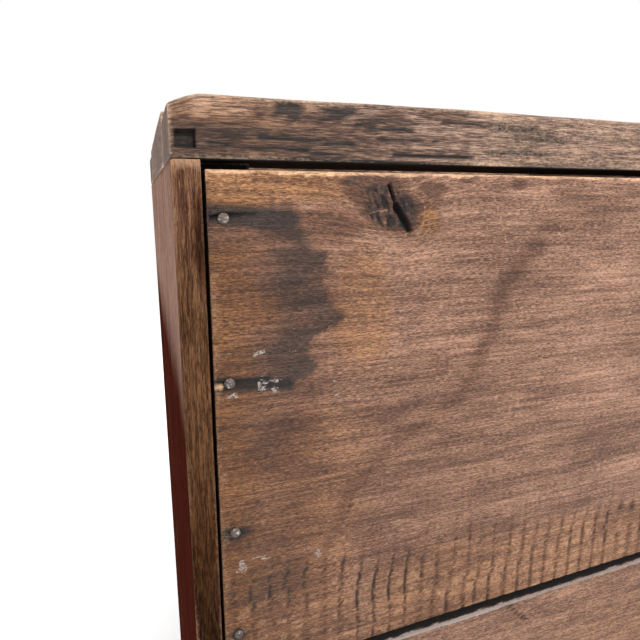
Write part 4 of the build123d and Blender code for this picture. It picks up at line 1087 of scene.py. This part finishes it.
# %% Pegs of the rim
low, high = node_box("rim_pegs")
for number, (x, y) in enumerate([(x, y) for x in (low[0] + PEG_R, high[0] - PEG_R)
                                 for y in (low[1] + PEG_R, high[1] - PEG_R)]):
    rod(f"rim_peg_{number + 1}", "rim_pegs", (x, y, low[2]), (x, y, high[2]), PEG_R, "rim",
        105 + number, cell=(4, 1, 1), edge=0.6, wear=0.3)
print("with the pegs", len(made), "triangles", sum(made))

# %% [markdown]
# The hub was turned from one block and bored for the axle, and it has checked along its grain as it
# dried. A screw modifier could turn the profile. Here its rings of points are worked out at once, so
# that noise can sink the checks, and the last ring joins the first inside the bore.

# %% Hub
ROUND = 96
profile = np.array([
    (-70, 10.05), (-70, 20), (-70, 32), (-70, 38.6), (-69.2, 39.9), (-67, 41.8), (-60, 42), (-52, 42),
    (-50, 43.2), (-47, 44.4), (-44, 44.1), (-43, 45.2), (-34, 47.2), (-24, 48.6), (-21, 48.9),
    (-19.6, 50.4), (-16, 51.8), (-8, 51.9), (0, 51.9),
]) * MM
profile = np.concatenate([profile, profile[-2::-1] * (-1, 1)])
steps = np.concatenate([np.linspace(p, q, 4)[:-1] for p, q in zip(profile[:-1], profile[1:])])
profile = np.concatenate([steps, profile[-1:]])
turn = np.linspace(0, 2 * math.pi, ROUND, endpoint=False)
rows = len(profile)
at = profile[:, None, 0] + 0 * turn
swell = np.stack([at.ravel(), np.tile(np.cos(turn) * 0.05, rows), np.tile(np.sin(turn) * 0.05, rows)],
                 axis=1)
r = profile[:, None, 1] + 0 * turn
checks = np.clip(noise(swell, (0.09, 0.004, 0.004), 111) - 0.45, 0, 1).reshape(rows, ROUND)
r = np.where(r > 0.02, r - (0.12 + 1.6 * checks) * MM, r)
hub_points = np.stack([at, axle_y + r * np.cos(turn), axle_z + r * np.sin(turn)], -1).reshape(-1, 3)
cell = np.arange(rows * ROUND).reshape(rows, ROUND)
after = np.roll(cell, -1, axis=1)
below, below_after = np.roll(cell, -1, axis=0), np.roll(after, -1, axis=0)
hub_quads = np.stack([cell, after, below_after, below], -1).reshape(-1, 4)
facing_end = (np.abs(at) > 0.0695).ravel().astype(float)
hub_marks = np.stack([0 * facing_end, facing_end, np.clip(0.35 + checks.ravel(), 0, 1),
                      0 * facing_end], 1)
hub = settle("hub_wood", hub_points, hub_quads, swell + 3.1, hub_marks, 0.4 + 0 * facing_end,
             *LOOK["wheel"], body="wheel")
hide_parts("hub")
made.append(2 * len(hub_quads))
print("with the wheel", len(made), "triangles", sum(made))

# %% [markdown]
# The nails of the two end walls are close enough to see that a smith made them: heads with a few
# uneven hammer facets, no two alike. A head is a low dome on a round grid, its rim pushed in and out
# and its top beaten flat in places by noise. All the heads of one wall are one piece.

# %% Hammered nail heads
def nail_heads(name, node, spots, outward, seed):
    """Low domes on the wall's outer face: rings at `share` of a radius of about 3.05 mm, `rise` mm
    high but no more than 1.58 mm, both changed by noise."""
    share = np.array([0.3, 0.55, 0.75, 0.9, 1.0, 1.0])
    rise = np.array([1.55, 1.45, 1.2, 0.9, 0.55, -0.6])
    turn = np.linspace(0, 2 * math.pi, 14, endpoint=False)
    points, faces = [], []
    for number, (x, y, z) in enumerate(spots):
        facet = np.stack([np.cos(turn), np.sin(turn), 0 * turn + number + seed], 1)
        reach = 3.05 + 0.22 * noise(facet, (0.9, 0.9, 1), seed)
        flat_x = share[:, None] * reach * np.cos(turn)
        flat_z = share[:, None] * reach * np.sin(turn)
        beaten = noise(np.stack([flat_x.ravel(), flat_z.ravel(), 0 * flat_x.ravel() + number], 1),
                       (1.3, 1.3, 1), seed + 5).reshape(flat_x.shape)
        lift = np.minimum(rise[:, None] * (1 + 0.3 * beaten), 1.58)
        rings = np.stack([x + flat_x * MM, y + outward * lift * MM, z + flat_z * MM], -1).reshape(-1, 3)
        base = number * flat_x.size
        cell = base + np.arange(flat_x.size).reshape(flat_x.shape)
        after = np.roll(cell, -1, axis=1)
        ring = np.stack([cell[:-1], cell[1:], after[1:], after[:-1]], -1).reshape(-1, 4)
        closed = ring.tolist() + [cell[0].tolist(), cell[-1][::-1].tolist()]
        faces += [face[::-1] for face in closed] if outward > 0 else closed
        points.append(rings)
    points = np.concatenate(points)
    mesh = bpy.data.meshes.new(name)
    mesh.from_pydata(points.tolist(), [], faces)
    mesh.materials.append(heads)
    piece = bpy.data.objects.new(name, mesh)
    bpy.context.collection.objects.link(piece)
    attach(piece, "barrow")
    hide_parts(node)
    return piece


nail_at = (panel_high[0] - nail_in * MM, panel_high[2])
for name, panel, wall, outward in (("rear_nail_heads", "rear_panel", "rear_wall_nails", -1),
                                   ("front_nail_heads", "front_panel", "front_wall_nails", 1)):
    face_y = node_box(panel)[0 if outward < 0 else 1][1]
    spots = [(s * nail_at[0], face_y, nail_at[1] - d * MM) for s in (-1, 1) for d in NAIL_DOWN]
    lower_y = rail_low[1] if outward < 0 else node_box("rim_front")[1][1]
    lower_z = node_box("floor_board_1")[1][2] + 0.0125
    spots += [(s * nail_at[0], lower_y, lower_z) for s in (-1, 1)]
    nail_heads(name, wall, spots, outward, 120 if outward < 0 else 130)

# %% [markdown]
# A plain pale floor, a white surround and three soft lights: a strong one high on the right in
# front, which models the grain, a weak one on the left, and one behind for the far side. The
# surround alone would light everything evenly and flatten it.

# %% Floor and light
LAMPS = (    # name, place, size in metres, watts
    ("key", (0.35, -1.75, 2.0), 0.4, 70),
    ("fill", (-1.9, -0.4, 1.3), 1.2, 9),
    ("back", (0.8, 1.8, 2.0), 1.2, 25),
)
span = np.linspace(-6, 6, 3)
gx, gy = np.meshgrid(span, span, indexing="ij")
floor_mesh = bpy.data.meshes.new("floor")
floor_mesh.from_pydata(np.stack([gx, gy, gx * 0 - 0.0005], -1).reshape(-1, 3).tolist(), [],
                       [(0, 3, 4, 1), (1, 4, 5, 2), (3, 6, 7, 4), (4, 7, 8, 5)])
floor = bpy.data.objects.new("floor", floor_mesh)
bpy.context.collection.objects.link(floor)
# Painted studio floor, almost white: it shows the barrow's shadow and takes nothing from its colours.
pale, pale_tree, pale_shader = blank("pale_studio_floor")
cloud = add(pale_tree, "ShaderNodeTexCoord").outputs["Object"]
cloud = add(pale_tree, "ShaderNodeTexNoise", {"Vector": cloud, "Scale": 3, "Detail": 2}).outputs["Fac"]
shade = mix(pale_tree, cloud, paint("#ffffff"), paint("#fbfbfb"))
pale_tree.links.new(shade, pale_shader.inputs["Base Color"])
pale_shader.inputs["Roughness"].default_value = 0.9
floor_mesh.materials.append(pale)

world = bpy.data.worlds.new("studio")
world.use_nodes = True
world.node_tree.nodes["Background"].inputs["Color"].default_value = (1, 1, 1, 1)
world.node_tree.nodes["Background"].inputs["Strength"].default_value = 1.0
bpy.context.scene.world = world
bpy.context.scene.view_settings.view_transform = "Standard"

for name, lamp_at, size, power in LAMPS:
    lamp = bpy.data.lights.new(name, "AREA")
    lamp.size, lamp.energy = size, power
    holder = bpy.data.objects.new(name, lamp)
    holder.location = lamp_at
    aim = Vector((0, 0, 0.5)) - holder.location
    holder.rotation_euler = aim.to_track_quat("-Z", "Y").to_euler()
    bpy.context.collection.objects.link(holder)
